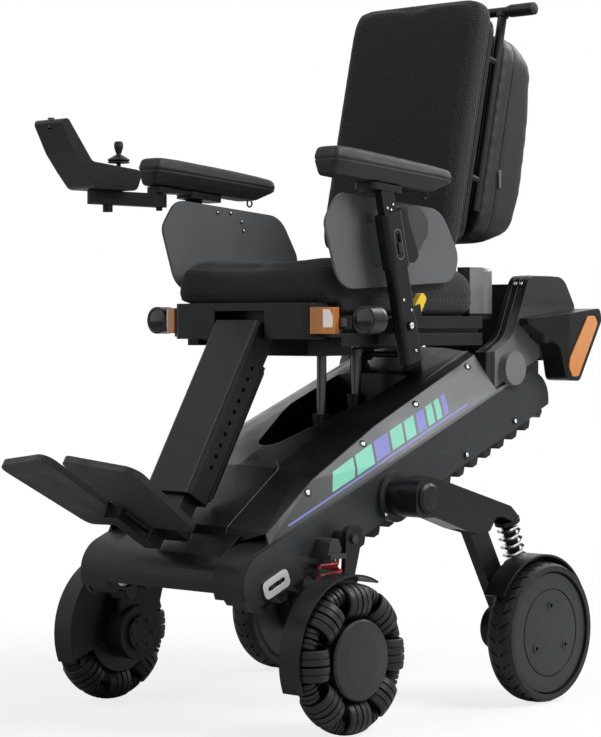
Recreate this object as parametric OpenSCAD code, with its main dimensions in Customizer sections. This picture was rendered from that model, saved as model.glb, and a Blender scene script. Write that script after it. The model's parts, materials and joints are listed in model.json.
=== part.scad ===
// Stair climbing wheelchair: tracks on a sloping body, roller front wheels, rear wheels on swing
// arms, tilting seat. Millimetres, front toward -Y, floor at Z = 0, the sitter's left toward +X.

/* [Tracks] */
// Slope of the track run in degrees
track_slope = 21.5; // [21:0.1:22]
// Distance from the idler axle to the drive axle
track_len = 799; // [790:1:806]
// Idler axle relative to the front wheel axle (negative is ahead of it)
idler_y = -103; // [-106:1:-100]
// Height of the idler axle
idler_z = 254; // [252:1:257]
// Inner radius of the belt at its wheels
belt_r = 29; // [27:0.5:30]
// Thickness of the belt
belt_t = 6; // [4:0.5:7]
// Height of a belt lug
lug_h = 16; // [12:0.5:17]
// Number of lugs round the belt
lug_n = 42; // [36:1:46]
// Width of the belt
belt_w = 46; // [40:1:47]
// Outer face of the track side plates from the middle
plate_x = 196.5; // [195.5:0.5:198]
// Thickness of the side plates
plate_t = 6.5; // [5:0.5:7]

/* [Body] */
// Half width of the body between the tracks
tub_w = 130; // [126:1:132]
// Lowest point of the nose
nose_z = 229; // [222:1:233]
// Half width of the well in the hood
well_w = 86; // [70:1:92]
// Top of the raised rear hood
hood_top_z = 784; // [778:1:786]
// Half width of the recess between the arms of the rear hood
hood_in = 145; // [143:1:148]

/* [Wheels] */
// Outside radius of all four wheels
wheel_r = 128; // [126:1:128]
// Middle of a front wheel from the chair's middle
front_x = 291; // [290:1:294]
// Large rollers round a front wheel, with as many small ones between
roller_n = 8; // [8]
// Largest radius of a large roller
roller_r = 32; // [31:0.5:32]
// Largest radius of a small roller
small_r = 17; // [16:0.5:17]
// Rear axle behind the front axle
wheelbase = 502; // [498:1:506]
// Middle of a rear wheel from the chair's middle
rear_x = 318; // [317:1:321]
// Width of a rear tyre
tyre_w = 54; // [48:1:56]
// Depth of the rubber on a rear wheel
tyre_t = 16; // [12:1:18]
// Radius of the wheel axles
axle_r = 10; // [8:0.5:12]

/* [Suspension] */
// Radius of the front suspension pivot pins
front_pin_r = 8; // [6:0.5:9]
// Mean radius of a front spring coil
front_coil_r = 19; // [17:0.5:19]
// Wire radius of a front spring
front_wire_r = 3.6; // [3:0.1:3.8]
// Turns of a front spring
front_turns = 3; // [2:1:3]
// Radius of the cross shaft of the rear arms
shaft_r = 22; // [18:0.5:24]
// Radius of the leg pivot pins in the rear arms
leg_pin_r = 9; // [7:0.5:10]
// Mean radius of a rear spring coil
rear_coil_r = 20; // [18:0.5:20]
// Wire radius of a rear spring
rear_wire_r = 3.4; // [2.6:0.1:3.6]
// Turns of a rear spring
rear_turns = 4; // [3:1:5]

/* [Seat] */
// Top of the seat rails
rail_top_z = 705; // [703:1:705]
// Outer face of the seat rails from the middle
rail_x = 188; // [186:1:190]
// Width of the seat cushion
seat_w = 382; // [366:1:384]
// Depth of the seat cushion
seat_l = 443; // [430:1:446]
// Height of the seat cushion in the middle
seat_h = 88; // [76:1:90]
// Rise of the cushion's sides above its middle at the front
seat_saddle = 16; // [0:1:18]
// Recline of the back at rest in degrees
back_tilt = 13; // [12:0.5:14]
// Width of the back cushion
back_w = 326; // [304:1:328]
// Thickness of the back cushion
back_t = 54; // [46:1:56]
// Radius of the push bar
bar_r = 11; // [9:0.5:12]
// Half length of the push bar
bar_half = 202; // [180:1:215]

/* [Legrest] */
// Lean of the legrest column from upright in degrees
leg_tilt = 31; // [30:0.5:32]
// Width of the column
column_w = 110; // [100:1:112]
// Depth of the column
column_d = 56; // [50:1:57]
// Length of the column below its pivot
column_len = 330; // [310:1:335]
// Thickness of a footplate
foot_t = 12; // [9:1:13]

/* [Armrests] */
// Lean of the armrest posts forward in degrees
arm_tilt = 13.8; // [13:0.1:14.5]
// Middle of the posts from the chair's middle
arm_x = 235; // [234:1:238]
// Depth of an armrest post
post_d = 44; // [40:1:46]
// Width of an armrest post
post_w = 24; // [22:0.5:25]
// Length of an arm pad
pad_len = 329; // [312:1:332]
// Width of an arm pad
pad_w = 68; // [60:1:70]
// Height of an arm pad at its front
pad_h = 52; // [44:1:54]
// Fall of the arm pads to the rear in degrees
pad_slope = 4.4; // [3.5:0.1:5]

/* [Control] */
// Width of the control box
box_w = 72; // [66:1:74]
// Radius of the joystick knob
knob_r = 8.5; // [7:0.5:10]
// Height of the joystick knob's top
knob_z = 1020; // [1015:1:1026]

/* [Clearances] */
// Radial clearance of a running fit
run = 0.05; // [0.03:0.01:0.1]
// Clearance between sliding pieces
slide_gap = 0.4; // [0.3:0.05:0.5]
// Gap between fixed pieces that sit against each other
seat_gap = 0.3; // [0.2:0.05:0.4]

/* [Hidden] */
$fn = 64;

mid_y = 195.44;
wheel_z = 128;
cover_r = belt_r + belt_t + lug_h + 3;
cover_t = 5.5;
cover_out = cover_r + cover_t;
drive_y = idler_y + track_len * cos(track_slope);
drive_z = idler_z + track_len * sin(track_slope);
belt_x = plate_x - plate_t - 3 - belt_w;
core_x = belt_x + 8;
core_w = belt_w - 16;
track_axle_r = 9;
shaft_s = 357;
shaft_y = idler_y + shaft_s * cos(track_slope);
shaft_z = idler_z + shaft_s * sin(track_slope);
well_n = 36;
belly_z = nose_z + 11;
pack_s = 395;
pack_l = track_len - 139 - pack_s;
lift_y = [258, 355];
lift_top_z = [525, 560];
tilt_y = 440;
tilt_z = rail_top_z - 71;
fsus_y = 80;
fsus_z = 321;
fspring_x = 222;
fspring_y = 28;
fspring_z = 225;
fspring_len = 66;
leg_y = wheelbase - 122;
leg_z = 338;
rspring_lean = 20.5;
rspring_x = 254;
rspring_y = wheelbase + 13;
rspring_z = 252;
rspring_len = 78;
recline_y = seat_l + 57;
recline_z = rail_top_z + 30;
rest_y = 52;
rest_z = rail_top_z - 33;
foot_z = -412;
flip_y = 215;
flip_z = rail_top_z - 17;
arm_up = rail_top_z - 705;
lever_z = 20;
guard_x = 195.5;
guard_t = 5;
sleeve_d = post_d + 6;
sleeve_w = post_w + 5;
tube_d = post_d - 10;
tube_w = post_w - 9;
pad_x = 216;
pad_y = 15;
pad_z = flip_z + 257;
swing_y = 52;
ctrl_x = -216;
stick_y = -50;

// Height of the track cover's top face above the floor at a place along the chair
function crease(y) = idler_z + (y - idler_y) * tan(track_slope) + cover_out / cos(track_slope);
// Stations of the hood: place, half width at the seam, height of the seam, crown
hood = [[-95, 188, 338, 8], [34, 178, 424, 18], [224, 156, 509, 22], [530, 143, 634, 14]];

function unit(v) = v / norm(v);
// Points of one rounded corner at b, between a and c
function corner(a, b, c, r, n) = r <= 0 ? [b] :
  let (u = unit(a - b), w = unit(c - b), half = acos(u * w) / 2, p = b + u * (r / tan(half)),
       q = b + w * (r / tan(half)), o = b + unit(u + w) * (r / sin(half)),
       a0 = atan2(p.y - o.y, p.x - o.x), a1 = atan2(q.y - o.y, q.x - o.x),
       da = ((a1 - a0 + 540) % 360) - 180)
  [for (i = [0:n]) o + r * [cos(a0 + da * i / n), sin(a0 + da * i / n)]];
function rounded(p, r, n = 6) = let (m = len(p))
  [for (i = [0:m - 1]) each corner(p[(i + m - 1) % m], p[i], p[(i + 1) % m], is_list(r) ? r[i] : r, n)];
function arc(c, r, a0, a1, n) = [for (i = [0:n]) c + r * [cos(a0 + (a1 - a0) * i / n),
  sin(a0 + (a1 - a0) * i / n)]];

module place() { translate([0, -mid_y, 0]) children(); }
module side(s) { mirror([s < 0 ? 1 : 0, 0, 0]) children(); }
module pair() { children(); mirror([1, 0, 0]) children(); }
// Extrudes a side view (along the chair, up) across the chair
module across(x0, x1) { translate([x0, 0, 0]) rotate([90, 0, 90]) linear_extrude(x1 - x0) children(); }
module xcyl(r, x0, x1, y, z) { translate([x0, y, z]) rotate([0, 90, 0]) cylinder(r = r, h = x1 - x0); }
module xturn(x, y, z) { translate([x, y, z]) rotate([0, 90, 0]) rotate_extrude() children(); }
module on_slope() { translate([0, idler_y, idler_z]) rotate([track_slope, 0, 0]) children(); }
module slot2d(l, r) { circle(r); translate([l, 0]) circle(r); translate([0, -r]) square([l, 2 * r]); }
module rrect(w, h, r) {
  square([w, h - 2 * r], center = true);
  square([w - 2 * r, h], center = true);
  for (i = [-1, 1], j = [-1, 1]) translate([i * (w / 2 - r), j * (h / 2 - r)]) circle(r);
}
module box(x0, x1, y0, y1, z0, z1) { translate([x0, y0, z0]) cube([x1 - x0, y1 - y0, z1 - z0]); }
module sector(r0, r1, a0, a1, n = 24) {
  polygon(concat(arc([0, 0], r1, a0, a1, n), arc([0, 0], r0, a1, a0, n)));
}

// Coil spring of one unbroken wire, standing on z = 0, ends turned square to their seats
module coil(l, r, w, turns) {
  m = 8 * turns;
  d = 2 * w;
  path = concat([[r, 0, 0]],
                [for (k = [0:m]) [r * cos(45 * k), r * sin(45 * k), d + (l - 2 * d) * k / m]],
                [[r * cos(45 * m), r * sin(45 * m), l]]);
  n = len(path) - 1;
  turn = [for (i = [0:n]) 45 * min(max(i - 1, 0), m)];
  dir = [for (i = [0:n]) unit(path[min(i + 1, n)] - path[max(i - 1, 0)])];
  pts = [for (i = [0:n]) let (e = [cos(turn[i]), sin(turn[i]), 0], u = unit(e - (e * dir[i]) * dir[i]),
                              v = cross(dir[i], u))
         for (k = [0:5]) path[i] + w * (cos(60 * k) * u + sin(60 * k) * v)];
  walls = [for (i = [0:n - 1], k = [0:5]) let (a = 6 * i + k, b = 6 * i + (k + 1) % 6)
           each [[a, b + 6, b], [a, a + 6, b + 6]]];
  ends = concat([for (k = [1:4]) [0, k, k + 1]], [for (k = [1:4]) [6 * n, 6 * n + k + 1, 6 * n + k]]);
  gap = min([for (i = [0:n], j = [i + 6:1:n]) norm(path[i] - path[j])]) - d;
  echo(least_coil_gap = gap);
  polyhedron(points = pts, faces = concat(walls, ends));
}

// Edge profiles of the padding, from the base up: share of the width, height, share of the length
firm_edge = [[0.93, 0, 0.93], [0.985, 0.05, 0.985], [1, 0.2, 1], [1, 0.72, 1], [0.988, 0.86, 0.988],
             [0.95, 0.95, 0.95], [0.86, 0.99, 0.86], [0.68, 1, 0.68], [0.45, 1, 0.45], [0.2, 1, 0.2]];
soft_edge = [[0.9, 0, 0.91], [0.965, 0.07, 0.97], [0.99, 0.2, 0.992], [1, 0.42, 1], [0.988, 0.64, 0.99],
             [0.96, 0.8, 0.965], [0.91, 0.92, 0.92], [0.83, 0.98, 0.84], [0.66, 1, 0.67], [0.44, 1, 0.45],
             [0.2, 1, 0.2]];
pad_edge = [[0.66, 0, 0.95], [0.72, 0.02, 0.962], [0.97, 0.52, 0.995], [1, 0.58, 1], [0.985, 0.66, 0.997],
            [0.9, 0.9, 0.98], [0.86, 0.95, 0.972], [0.78, 0.985, 0.955], [0.6, 1, 0.88], [0.38, 1, 0.7],
            [0.16, 1, 0.36]];
// Padded block standing on z = 0: crowned top, sides drawn in between the corners
module padding(w, l, h, rise, dip, p = 6, n = 44, fall = 0, rows = firm_edge) {
  m = len(rows);
  function rim(t) = let (c = cos(t), s = sin(t), f = 1 - 0.012 * pow(cos(2 * t), 2))
    f * [w / 2 * sign(c) * pow(abs(c), 2 / p), l / 2 * sign(s) * pow(abs(s), 2 / p)];
  function top(q) = rise * (1 - pow(2 * q.x / w, 2)) * (1 - pow(2 * q.y / l, 2))
    + dip * pow(2 * q.x / w, 2) * (0.6 - q.y / l) - fall * (q.y / l + 0.5);
  pts = concat([for (j = [0:m - 1], i = [0:n - 1])
                let (e = rim(360 * i / n), q = [rows[j][0] * e.x, rows[j][2] * e.y])
                [q.x, q.y, rows[j][1] * h + (j < 4 ? 0 : top(q) * min(1, (j - 3) / 2))]],
               [[0, 0, 0], [0, 0, h + top([0, 0])]]);
  walls = [for (j = [0:m - 2], i = [0:n - 1]) let (a = j * n + i, b = j * n + (i + 1) % n)
           each [[a, b + n, b], [a, a + n, b + n]]];
  caps = [for (i = [0:n - 1]) each [[m * n, i, (i + 1) % n],
          [m * n + 1, (m - 1) * n + (i + 1) % n, (m - 1) * n + i]]];
  polyhedron(points = pts, faces = concat(walls, caps));
}

// One cross section of the hood, as a thin slice for hull()
module hood_slice(h) {
  w = h[1];
  z = h[2];
  c = h[3];
  b = crease(h[0]) + 1;
  translate([0, h[0], 0]) rotate([90, 0, 0]) linear_extrude(0.02)
    polygon([[-w, z], [-tub_w, b], [tub_w, b], [w, z], [0.8 * w, z + 0.45 * c], [0.5 * w, z + 0.82 * c],
             [0, z + c], [-0.5 * w, z + 0.82 * c], [-0.8 * w, z + 0.45 * c]]);
}
// One cross section of a side panel
module panel_slice(h) {
  b = crease(h[0]);
  translate([0, h[0], 0]) rotate([90, 0, 0]) linear_extrude(0.02)
    polygon([[h[1] + 0.4, h[2]], [plate_x, b], [plate_x - 8, b], [h[1] + 0.4, max(h[2] - 9, b + 1)]]);
}
// Well in the hood that the lift actuators stand in
module well() {
  intersection() {
    translate([0, 0, 300]) linear_extrude(500) union() {
      translate([0, 132]) circle(30);
      polygon([[-28, 121], [28, 121], [well_w, 270], [well_w, 402], [-well_w, 402], [-well_w, 270]]);
    }
    on_slope() box(-120, 120, 100, 620, well_n, 600);
  }
}
function well_floor(y) = idler_z + (y - idler_y) * tan(track_slope) + well_n / cos(track_slope);

module body_shell() {
  nose = arc([idler_y, idler_z], cover_out, 180 + asin((idler_z - belly_z) / cover_out), 122, 10);
  color("#17181a") place() {
    difference() {
      union() {
        across(-tub_w, tub_w) polygon(concat(nose, [[34, 428], [224, 515], [530, 640], [536, 620],
          [drive_y + 111, 620], [drive_y + 111, 585], [drive_y + 50, drive_z - 2],
          [drive_y - 6, drive_z - 22], [-40, idler_z + 3], [-70, belly_z]]));
        for (i = [0:2]) hull() {
          hood_slice(hood[i]);
          hood_slice(hood[i + 1]);
        }
        // Ears of the seat hinge
        pair() across(60, 72)
          polygon(rounded([[tilt_y - 22, 588], [tilt_y + 22, 588], [tilt_y + 16, tilt_z + 16],
            [tilt_y - 16, tilt_z + 16]], [0, 0, 12, 12]));
      }
      difference() {
        well();
        for (i = [0, 1])
          translate([0, lift_y[i], 300]) cylinder(r = 24, h = well_floor(lift_y[i]) + 12 - 300);
      }
      xcyl(shaft_r + run, -200, 200, shaft_y, shaft_z);
      xcyl(track_axle_r + run, -200, 200, idler_y, idler_z);
      xcyl(track_axle_r + run, -200, 200, drive_y, drive_z);
      xcyl(6 + run, -80, 80, tilt_y, tilt_z);
      on_slope() box(-100, 100, pack_s, pack_s + pack_l, -60, 28);
    }
  }
}

module panel_side() {
  for (i = [0:2]) hull() {
    panel_slice(hood[i]);
    panel_slice(hood[i + 1]);
  }
  // Cover over the track, wrapped round the nose
  difference() {
    on_slope() across(tub_w + seat_gap, plate_x) difference() {
      slot2d(track_len, cover_out);
      slot2d(track_len, cover_r);
      translate([track_len, -80]) square([90, 200]);
      translate([0, -80]) square([track_len + 1, 80]);
      rotate(-track_slope) translate([-90, -90]) square([160, 90 - (idler_z - nose_z)]);
      rotate(-track_slope) translate([0, -90]) square([80, 90]);
    }
    xcyl(track_axle_r + 4, 100, 200, idler_y, idler_z);
  }
}
module side_panels() { color("#7d8084") place() pair() panel_side(); }

module frame_side() {
  r = belt_r - 0.6;
  difference() {
    union() {
      // Side plate
      on_slope() across(plate_x - plate_t, plate_x) difference() {
        slot2d(track_len, cover_r - seat_gap);
        translate([-10, -90]) square([track_len + 20, 59]);
        translate([-70, -90]) square([70, 62]);
        translate([track_len, -90]) square([90, 62]);
      }
      // Guide core inside the belt, carried by the plate and the body
      on_slope() across(core_x, core_x + core_w) difference() {
        translate([0, -r]) square([track_len, 2 * r]);
        circle(r + 2);
        translate([track_len, 0]) circle(r + 2);
      }
      for (s = [130, 260, 460, track_len - 159]) on_slope() xcyl(17, tub_w + seat_gap, plate_x - 1, s, 0);
      // Boss of the rear arm shaft, pin and spring seat of the front suspension
      xcyl(shaft_r + 24, plate_x - 1, plate_x + 9, shaft_y, shaft_z);
      on_slope() xcyl(shaft_r + 6, tub_w + seat_gap, plate_x, shaft_s, 0);
      xcyl(front_pin_r + 9, plate_x - 1, plate_x + 24.5, fsus_y, fsus_z);
      xcyl(front_pin_r, plate_x - 1, plate_x + 40, fsus_y, fsus_z);
      box(plate_x - 1, fspring_x + 21, fspring_y - 20, fspring_y + 20, fspring_z + fspring_len,
        fspring_z + fspring_len + 8);
      across(plate_x - 1, fspring_x + 12) polygon(rounded([[fspring_y - 17, fspring_z + fspring_len + 6],
        [fspring_y + 17, fspring_z + fspring_len + 6], [fspring_y + 13, fspring_z + fspring_len + 34],
        [fspring_y - 9, fspring_z + fspring_len + 34]], [0, 0, 10, 10]));
      // Bright belt tensioner plate with its slot and bolts
      on_slope() across(plate_x - 1, plate_x + 3.5) difference() {
        translate([20, -8]) rrect(66, 32, 10);
        translate([20, -8]) rrect(44, 9, 4.4);
      }
      on_slope() for (s = [8, 30]) xcyl(4.2, plate_x - 1, plate_x + 5, s, -8);
      for (s = [100, 250, 430, 575, track_len - 65]) on_slope() xcyl(4, plate_x - 1, plate_x + 2, s, -16);
    }
    xcyl(shaft_r + run, 100, 260, shaft_y, shaft_z);
    xcyl(track_axle_r + run, 100, plate_x - 2, idler_y, idler_z);
    xcyl(track_axle_r + run, 100, plate_x - 2, drive_y, drive_z);
  }
}
module track_frames() { color("#43464a") place() pair() frame_side(); }

// Place and direction of a lug at distance t round the belt
function lug_at(t, r) = let (l = track_len, q = PI * r)
  t < l ? [t, r, 0] :
  t < l + q ? let (a = 90 - 180 * (t - l) / q) [l + r * cos(a), r * sin(a), a - 90] :
  t < 2 * l + q ? [2 * l + q - t, -r, 180] :
  let (a = 270 - 180 * (t - 2 * l - q) / q) [r * cos(a), r * sin(a), a - 90];
module belt_side() {
  r = belt_r + belt_t;
  loop = 2 * track_len + 2 * PI * r;
  on_slope() across(belt_x, belt_x + belt_w) difference() {
    union() {
      slot2d(track_len, r);
      for (i = [0:lug_n - 1]) let (p = lug_at((i + 0.5) * loop / lug_n, r))
        translate([p[0], p[1]]) rotate(p[2])
          polygon([[-15, -1.5], [15, -1.5], [9, lug_h], [-5, lug_h], [-11, 0.5 * lug_h]]);
    }
    slot2d(track_len, belt_r);
  }
}
module track_belts() { color("#26272a") place() pair() belt_side(); }

module rear_hood() {
  prof = rounded([[531, crease(531) + 1.2], [531, 638], [586, 664], [640, hood_top_z], [752, hood_top_z],
                  [792, 724], [772, 662], [704, crease(704) + 1.2]], [0, 0, 60, 26, 40, 20, 30, 0]);
  mid = [660, 710];
  color("#1b1c1e") place() {
    pair() {
      across(hood_in, 178) polygon(prof);
      across(178, 190) translate(mid) scale(0.985) translate(-mid) polygon(prof);
      // Round boss on the flank, over the track cover
      difference() {
        xcyl(32, 189, 207, 576, 608);
        across(180, plate_x + 0.5)
          polygon([[500, 480], [660, 480], [660, crease(660) + 1.2], [500, crease(500) + 1.2]]);
      }
    }
    // Back wall of the recess between the arms
    box(-hood_in - 1, hood_in + 1, 740, 752, 620 + seat_gap, hood_top_z - 14);
  }
}

module lamp_block() {
  intersection() {
    across(190 + seat_gap, 248) polygon(rounded([[598, 702], [790, 722], [798, 700], [724, 582], [684, 584],
      [668, 652], [600, 690]], [4, 10, 10, 14, 14, 26, 3]));
    union() {
      translate([0, 0, 500]) linear_extrude(300)
        polygon(rounded([[plate_x + 0.6, 594], [218, 594], [248, 690], [248, 800], [plate_x + 0.6,
          800]], [0, 20, 30, 4, 0]));
      box(190, plate_x + 1, 640, 775, 655, 716);
    }
  }
}
module tail_lamps() { color("#1e1f21") place() pair() lamp_block(); }
module tail_lenses() {
  color("#f0661e") place() pair() across(248 + 0.05, 250.5)
    polygon(rounded([[690, 626], [687, 610], [698, 591], [717, 591], [780, 692], [771, 707], [748, 707]],
      [10, 8, 8, 8, 8, 8, 10]));
}

module battery_pack() {
  color("#2c2e31") place() on_slope() {
    translate([0, pack_s + pack_l / 2, -22]) linear_extrude(49) rrect(198, pack_l - 3, 10);
  }
}

module lift_tubes() {
  color("#2b2d30") place() for (i = [0, 1]) difference() {
    translate([0, lift_y[i], well_floor(lift_y[i]) + 12 + seat_gap]) union() {
      cylinder(r = 18, h = lift_top_z[i] - well_floor(lift_y[i]) - 12);
      cylinder(r = 22, h = 16);
    }
    translate([0, lift_y[i], well_floor(lift_y[i]) + 18]) cylinder(r = 9 + run, h = 300);
  }
}
module rod(i) {
  color("#d9dde2") place() translate([0, lift_y[i], 0]) {
    top = rail_top_z - 55;
    translate([0, 0, well_floor(lift_y[i]) + 19]) cylinder(r = 9, h = top - 5 - well_floor(lift_y[i]) - 19);
    translate([0, 0, top - 10]) cylinder(r = 5, h = 8);
    translate([0, 0, top - 18]) cylinder(r = 13, h = 12);
    translate([0, 0, top]) sphere(r = 7);
  }
}
module lift_rod_front() { rod(0); }
module lift_rod_rear() { rod(1); }

module track_axle(y, z, teeth) {
  place() {
    xcyl(track_axle_r, -plate_x + 3, plate_x - 3, y, z);
    pair() translate([core_x, y, z]) rotate([90, 0, 90]) linear_extrude(core_w) difference() {
      circle(belt_r - 0.6);
      if (teeth) for (i = [0:11]) rotate(30 * i) translate([belt_r, 0]) circle(4);
    }
  }
}
module drive_axle() { color("#8c8f94") track_axle(drive_y, drive_z, true); }
module idler_axle() { color("#8c8f94") track_axle(idler_y, idler_z, false); }

module front_arm(s) {
  color("#1d1f22") place() side(s) difference() {
    union() {
      xcyl(33, 206, 213, 0, wheel_z);
      xcyl(50, 212, 250, 0, wheel_z);
      xcyl(42, 249, 257, 0, wheel_z);
      xcyl(axle_r, 250, front_x + 25, 0, wheel_z);
      for (i = [0:5]) xcyl(3, 204, 210, 24 * cos(60 * i), wheel_z + 24 * sin(60 * i));
      // Arm plate up to the pivot, with the shelf under the spring
      across(223, 232) polygon(rounded([[-40, 152], [38, 108], [104, 326], [100, 344], [62, 344],
        [fspring_y + 26, fspring_z - 2], [fspring_y - 20, fspring_z - 8], [-40, 190]],
        [10, 14, 10, 14, 14, 4, 4, 14]));
      box(200, fspring_x + 22, fspring_y - 20, fspring_y + 21, fspring_z - 9, fspring_z);
      // Mudguard with its inner wall
      translate([0, 4, wheel_z + 4]) across(254, 298) sector(134.5, 138, 62, 202, 40);
      translate([0, 4, wheel_z + 4]) across(254, 257) sector(38, 136.5, 64, 200, 40);
      xcyl(49, 254, 257, 0, wheel_z);
    }
    xcyl(front_pin_r + run, 200, 240, fsus_y, fsus_z);
  }
}
module front_arm_left() { front_arm(1); }
module front_arm_right() { front_arm(-1); }

module front_spring(s) {
  color("#b5261f") place() side(s) translate([fspring_x, fspring_y, fspring_z + 0.05])
    coil(fspring_len - 0.1, front_coil_r, front_wire_r, front_turns);
}
module front_spring_left() { front_spring(1); }
module front_spring_right() { front_spring(-1); }

// Rollers of the front wheels: each is two halves on a pin that one plate of the hub holds
big_c = wheel_r - roller_r;
small_c = wheel_r - small_r;
big_half = 26.4;
small_half = 18;
module at_roller(k, c) { translate([front_x, 0, wheel_z]) rotate([k, 0, 0])
  translate([0, 0, c]) children(); }
function roller_out(s, c) = sqrt(wheel_r * wheel_r - s * s) - c;
module roller_half(c, half, cup) {
  groove = half > 20 ? [13] : [9];
  marks = [for (g = groove) each [[g - 1.5, 0], [g - 1.1, 2.4], [g + 1.1, 2.4], [g + 1.5, 0]]];
  rim = concat([[1.8, 0.4], [2.2, 0]], marks, [[half - 2, 0], [half, 2]]);
  rotate_extrude($fn = 40)
    polygon(concat([[3.5 + run, 1.8]], [for (m = rim) [roller_out(m[0], c) - m[1], m[0]]],
    cup ? [[24.5, half], [24.5, 15.5], [3.5 + run, 15.5]] : [[3.5 + run, half]]));
}
module roller(c, half, cup) { for (a = [-90, 90]) rotate([a, 0, 0]) roller_half(c, half, cup); }
module front_rollers(s) {
  color("#2a2b2e") place() side(s) for (i = [0:roller_n - 1]) {
    at_roller(i * 360 / roller_n, big_c) roller(big_c, big_half, true);
    at_roller((i + 0.5) * 360 / roller_n, small_c) roller(small_c, small_half, false);
  }
}
module front_rollers_left() { front_rollers(1); }
module front_rollers_right() { front_rollers(-1); }
module front_hub(s) {
  color("#3a3c40") place() side(s) difference() {
    union() {
      xturn(front_x - 31, 0, wheel_z)
        polygon([[0, 2], [75, 2], [75, 5], [62, 7], [62, 44], [66, 50], [69, 57], [66, 61],
        [40, 64], [0, 65]]);
      for (i = [0:2 * roller_n - 1]) let (k = i * 180 / roller_n, c = i % 2 == 0 ? big_c : small_c,
                                          h = i % 2 == 0 ? 15 : small_half - 1) {
        at_roller(k, 0) translate([-7, -1, 55]) cube([14, 2, c - 55 + 5]);
        at_roller(k, c) rotate([90, 0, 0]) cylinder(r = 3.5, h = 2 * h, center = true, $fn = 24);
      }
    }
    xcyl(axle_r + run, front_x - 40, front_x + 26, 0, wheel_z);
  }
}
module front_hub_left() { front_hub(1); }
module front_hub_right() { front_hub(-1); }

module arm_outline() {
  polygon(rounded([[196, 352], [196, 414], [240, 424], [leg_y + 90, 358], [leg_y + 108, 343],
    [leg_y + 112, 330], [leg_y + 98, 328], [leg_y + 50, 346], [leg_y + 28, 316], [leg_y - 1, 312],
    [leg_y - 51, 324], [250, 350]], [20, 24, 20, 12, 8, 8, 6, 10, 12, 12, 10, 20]));
}
module rear_arms() {
  color("#1c1e20") place() {
    xcyl(shaft_r, -262, 262, shaft_y, shaft_z);
    pair() {
      difference() {
        union() {
          across(232, 276) arm_outline();
          xcyl(shaft_r + 12, plate_x + 9.5, 234, shaft_y, shaft_z);
          xturn(275, shaft_y, shaft_z) polygon([[0, 0], [27, 0], [27, 4], [22, 8], [0, 9]]);
        }
        // Slot that the leg swings in
        across(239.5, 261.5)
          polygon([[leg_y - 50, 300], [leg_y - 36, 372], [leg_y + 38, 372], [leg_y + 70, 346],
            [leg_y + 70, 300]]);
      }
      xcyl(leg_pin_r, 236, 270, leg_y, leg_z);
      // Upper seat of the spring, with the damper body inside the coil
      at_rspring() translate([0, 0, rspring_len]) cylinder(r = rear_coil_r + 4, h = 8);
      at_rspring() translate([0, 0, 20]) cylinder(r = rear_coil_r - 8, h = rspring_len - 18);
    }
  }
}
module at_rspring() { translate([rspring_x, rspring_y, rspring_z]) rotate([rspring_lean, 0,
  0]) children(); }

module rear_leg(s) {
  a = atan2(leg_z - wheel_z, wheelbase - leg_y);
  color("#1e2023") place() side(s) difference() {
    union() {
      across(240, 261) {
        translate([leg_y, leg_z]) circle(24);
        translate([wheelbase, wheel_z]) circle(46);
        translate([leg_y, leg_z]) rotate(-a) translate([0, -23])
          square([norm([wheelbase - leg_y, leg_z - wheel_z]) - 3, 46]);
        polygon([[wheelbase - 62, 214], [wheelbase - 5, 238], [wheelbase + 33, 252],
          [wheelbase + 46, 150], [wheelbase - 32, 150]]);
      }
      at_rspring() translate([0, 0, -8]) cylinder(r = rear_coil_r + 4, h = 8);
      xcyl(52, 260, 286, wheelbase, wheel_z);
      xcyl(40, 211, 241, wheelbase, wheel_z);
      xcyl(30, 205, 212, wheelbase, wheel_z);
      xcyl(axle_r, 280, rear_x + 20, wheelbase, wheel_z);
      // Mudguard with its inner wall
      translate([0, wheelbase, wheel_z]) across(282, 326) sector(138, 142, 22, 148, 36);
      translate([0, wheelbase, wheel_z]) across(282, 285) sector(48, 140, 26, 144, 36);
    }
    xcyl(leg_pin_r + run, 230, 280, leg_y, leg_z);
  }
}
module rear_leg_left() { rear_leg(1); }
module rear_leg_right() { rear_leg(-1); }

module rear_spring(s) {
  color("#c9ccd0") place() side(s) at_rspring() translate([0, 0, 0.05])
    coil(rspring_len - 0.1, rear_coil_r, rear_wire_r, rear_turns);
}
module rear_spring_left() { rear_spring(1); }
module rear_spring_right() { rear_spring(-1); }

module rear_tyre(s) {
  w = tyre_w / 2;
  color("#242528") place() side(s) difference() {
    xturn(rear_x, wheelbase, wheel_z)
      polygon([[wheel_r - tyre_t, -w], [wheel_r - 6, -w], [wheel_r - 1.5, -w + 9],
      [wheel_r, -w + 20], [wheel_r, w - 20], [wheel_r - 1.5, w - 9], [wheel_r - 6, w],
        [wheel_r - tyre_t, w]]);
    // Chevron tread
    for (i = [0:31], j = [-1, 1]) translate([rear_x, wheelbase, wheel_z]) rotate([11.25 * i, 0, 0])
      translate([j * 15, 0, wheel_r]) rotate([0, 0, j * 34]) cube([26, 4, 7], center = true);
  }
}
module rear_tyre_left() { rear_tyre(1); }
module rear_tyre_right() { rear_tyre(-1); }
module rear_disc(s) {
  r = wheel_r - tyre_t - 0.15;
  color("#4a4d51") place() side(s) difference() {
    union() {
      xturn(rear_x, wheelbase, wheel_z)
        polygon([[0, -26], [r - 8, -26], [r, -20], [r, 18], [r - 3, 22.5], [r - 10, 23], [81, 23.5],
        [80.4, 21], [78.6, 21], [78, 23.5], [40, 25], [0, 25.5]]);
      for (i = [0:2]) xcyl(9, rear_x, rear_x + 26, wheelbase + 50 * cos(120 * i + 90),
        wheel_z + 50 * sin(120 * i + 90));
    }
    xcyl(axle_r + run, rear_x - 40, rear_x + 20.5, wheelbase, wheel_z);
    for (i = [0:2]) xcyl(4, rear_x + 18, rear_x + 30, wheelbase + 50 * cos(120 * i + 90),
      wheel_z + 50 * sin(120 * i + 90));
  }
}
module rear_disc_left() { rear_disc(1); }
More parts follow.
